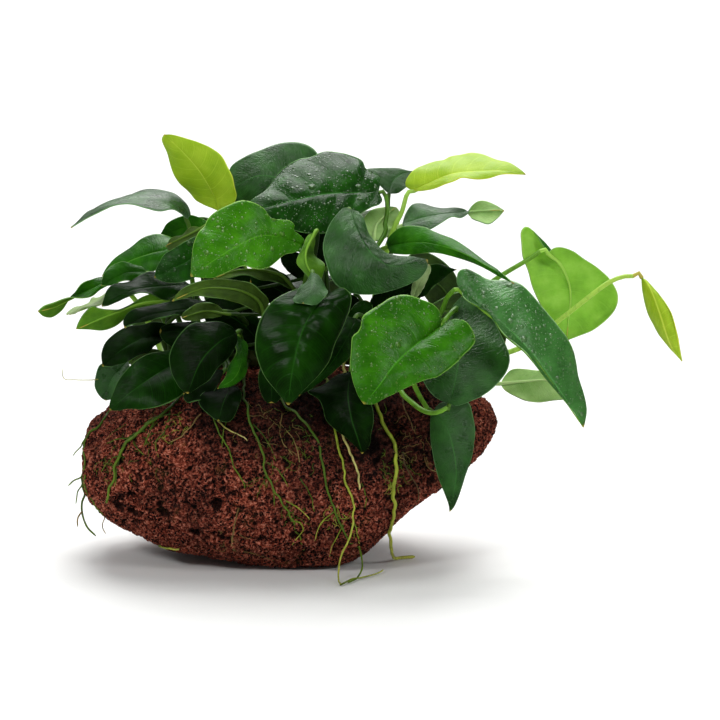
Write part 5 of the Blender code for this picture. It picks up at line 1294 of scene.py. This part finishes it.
def rootCourse(start, points, radius, seed):
    # the root's line: off the rhizome's front, then laid on the stone wherever it passes close to it
    course = []
    if start is not None:
        nearest = min(axis, key=lambda point: abs(point.x - start / 1000))
        course.append(Vector((start / 1000, nearest.y, nearest.z)) + mm(rootForm["offRhizome"]))
    for point in points:
        if len(point) == 2:
            eye = Vector((point[0] / 1000, inFront, point[1] / 1000))
            course.append(rock.ray_cast(eye, Vector((0, 1, 0)))[0])
        else:
            course.append(mm(point))
    path = smoothCourse(course, max(6, round(lengthOf(course) / rootForm["step"])))
    for k, point in enumerate(path):
        swing = Vector((seed, 0, 3)) + point * 1000 / rootForm["wobbleSpacing"]
        point += mm([rootForm["wobble"] * noise.noise(swing + Vector((0, 11 * j, 0))) for j in range(3)])
        near, normal, _, distance = rock.find_nearest(point)
        inside = (point - near).dot(normal) < 0
        if inside or distance * 1000 < rootForm["settle"]:
            path[k] = near + normal * (radius * (1 - rootForm["sink"])) / 1000
    for _ in range(2):
        path[1:-1] = [(a + 2 * b + c) / 4 for a, b, c in zip(path, path[1:], path[2:])]
    lowest = (radius + rootForm["clearance"]) / 1000
    return [Vector((p.x, p.y, max(p.z, lowest))) for p in path]


def addRoot(skin, radii, points, seed, start=None):
    path = rootCourse(start, points, max(radii), seed)
    widths = np.linspace(*radii, len(path)) * rootForm["slim"]
    knots = [noise.noise(p * 1000 / rootForm["knotSpacing"]) for p in path]
    widths = [float(w / 1000 * (1 + rootForm["knots"] * knot)) for w, knot in zip(widths, knots)]
    widths[-1] *= rootForm["tip"]
    root = addStrand(path, widths, rootForm["sides"])
    root.data.materials.append(strandMaterials[skin])
    return root


for seed, (name, root) in enumerate(mainRoots.items()):
    piece = addRoot(root["skin"], root["radii"], root["course"], seed, root["start"])
    piece.name = piece.data.name = pieceName("root_" + name)
    handOver(piece, "root", "root_" + name)
thin = [addRoot(skin, radii, course, 50 + k) for k, (skin, radii, course) in enumerate(sideRoots)]
handOver(joinPieces(thin, "sideRoots"), "root")

# Root hairs and shreds of moss, in millimetres. A tuft has its skin, its place (across, up) on the
# stone's front, how many hairs it has, how far they spread and how long they are.
hairLook = dict(
    radius=0.13, taper=0.1, lift=1.2, drift=0.5, sway=0.3, points=7, sides=4, seed=11, tufts=[
        ("greenRoot", (-62, 58), 26, 12, 6), ("greenRoot", (-74, 46), 16, 6, 5),
        ("greenRoot", (-52, 66), 22, 8, 6), ("yellowRoot", (-44, 64), 12, 8, 7),
        ("tanRoot", (-8, 66), 26, 16, 9), ("greenRoot", (4, 60), 26, 14, 7),
        ("greenRoot", (-8, 46), 14, 7, 5), ("greenRoot", (2, 30), 14, 6, 4),
        ("yellowRoot", (22, 28), 16, 7, 6), ("greenRoot", (46, 48), 34, 7, 5),
        ("tanRoot", (54, 56), 18, 9, 7), ("yellowRoot", (45, 40), 14, 4, 4),
        ("tanRoot", (-24, 18), 8, 5, 5), ("greenRoot", (30, 66), 18, 10, 6),
        ("tanRoot", (66, 58), 14, 9, 5),
    ],
)


def addHairs(look):
    pick = random.Random(look["seed"])
    hairs = []
    for skin, (x, z), count, spread, length in look["tufts"]:
        for _ in range(count):
            place = mm((x + pick.gauss(0, spread / 2), inFront * 1000, z + pick.gauss(0, spread / 2)))
            hit, _, _, _ = rock.ray_cast(place, Vector((0, 1, 0)))
            if hit is None:
                continue
            reach = mm((pick.gauss(0, look["drift"]), 0, -pick.uniform(0.2, 1))) * length
            path = []
            for share in (0, 0.25, 0.5, 0.75, 1):
                near, normal, _, _ = rock.find_nearest(hit + reach * share)
                swing = mm([pick.gauss(0, look["sway"]) for _ in range(3)])
                path.append(near + swing + normal * look["lift"] / 1000 * math.sin(math.pi * share))
            radii = [look["radius"] / 1000 * (1 - look["taper"] * k) for k in range(look["points"])]
            hair = addStrand(smoothCourse(path, look["points"]), radii, look["sides"])
            hair.data.materials.append(strandMaterials[skin])
            hairs.append(hair)
    return hairs


handOver(joinPieces(addHairs(hairLook), "rootHairs"), "root")
print("roots made:", len(mainRoots) + len(sideRoots))
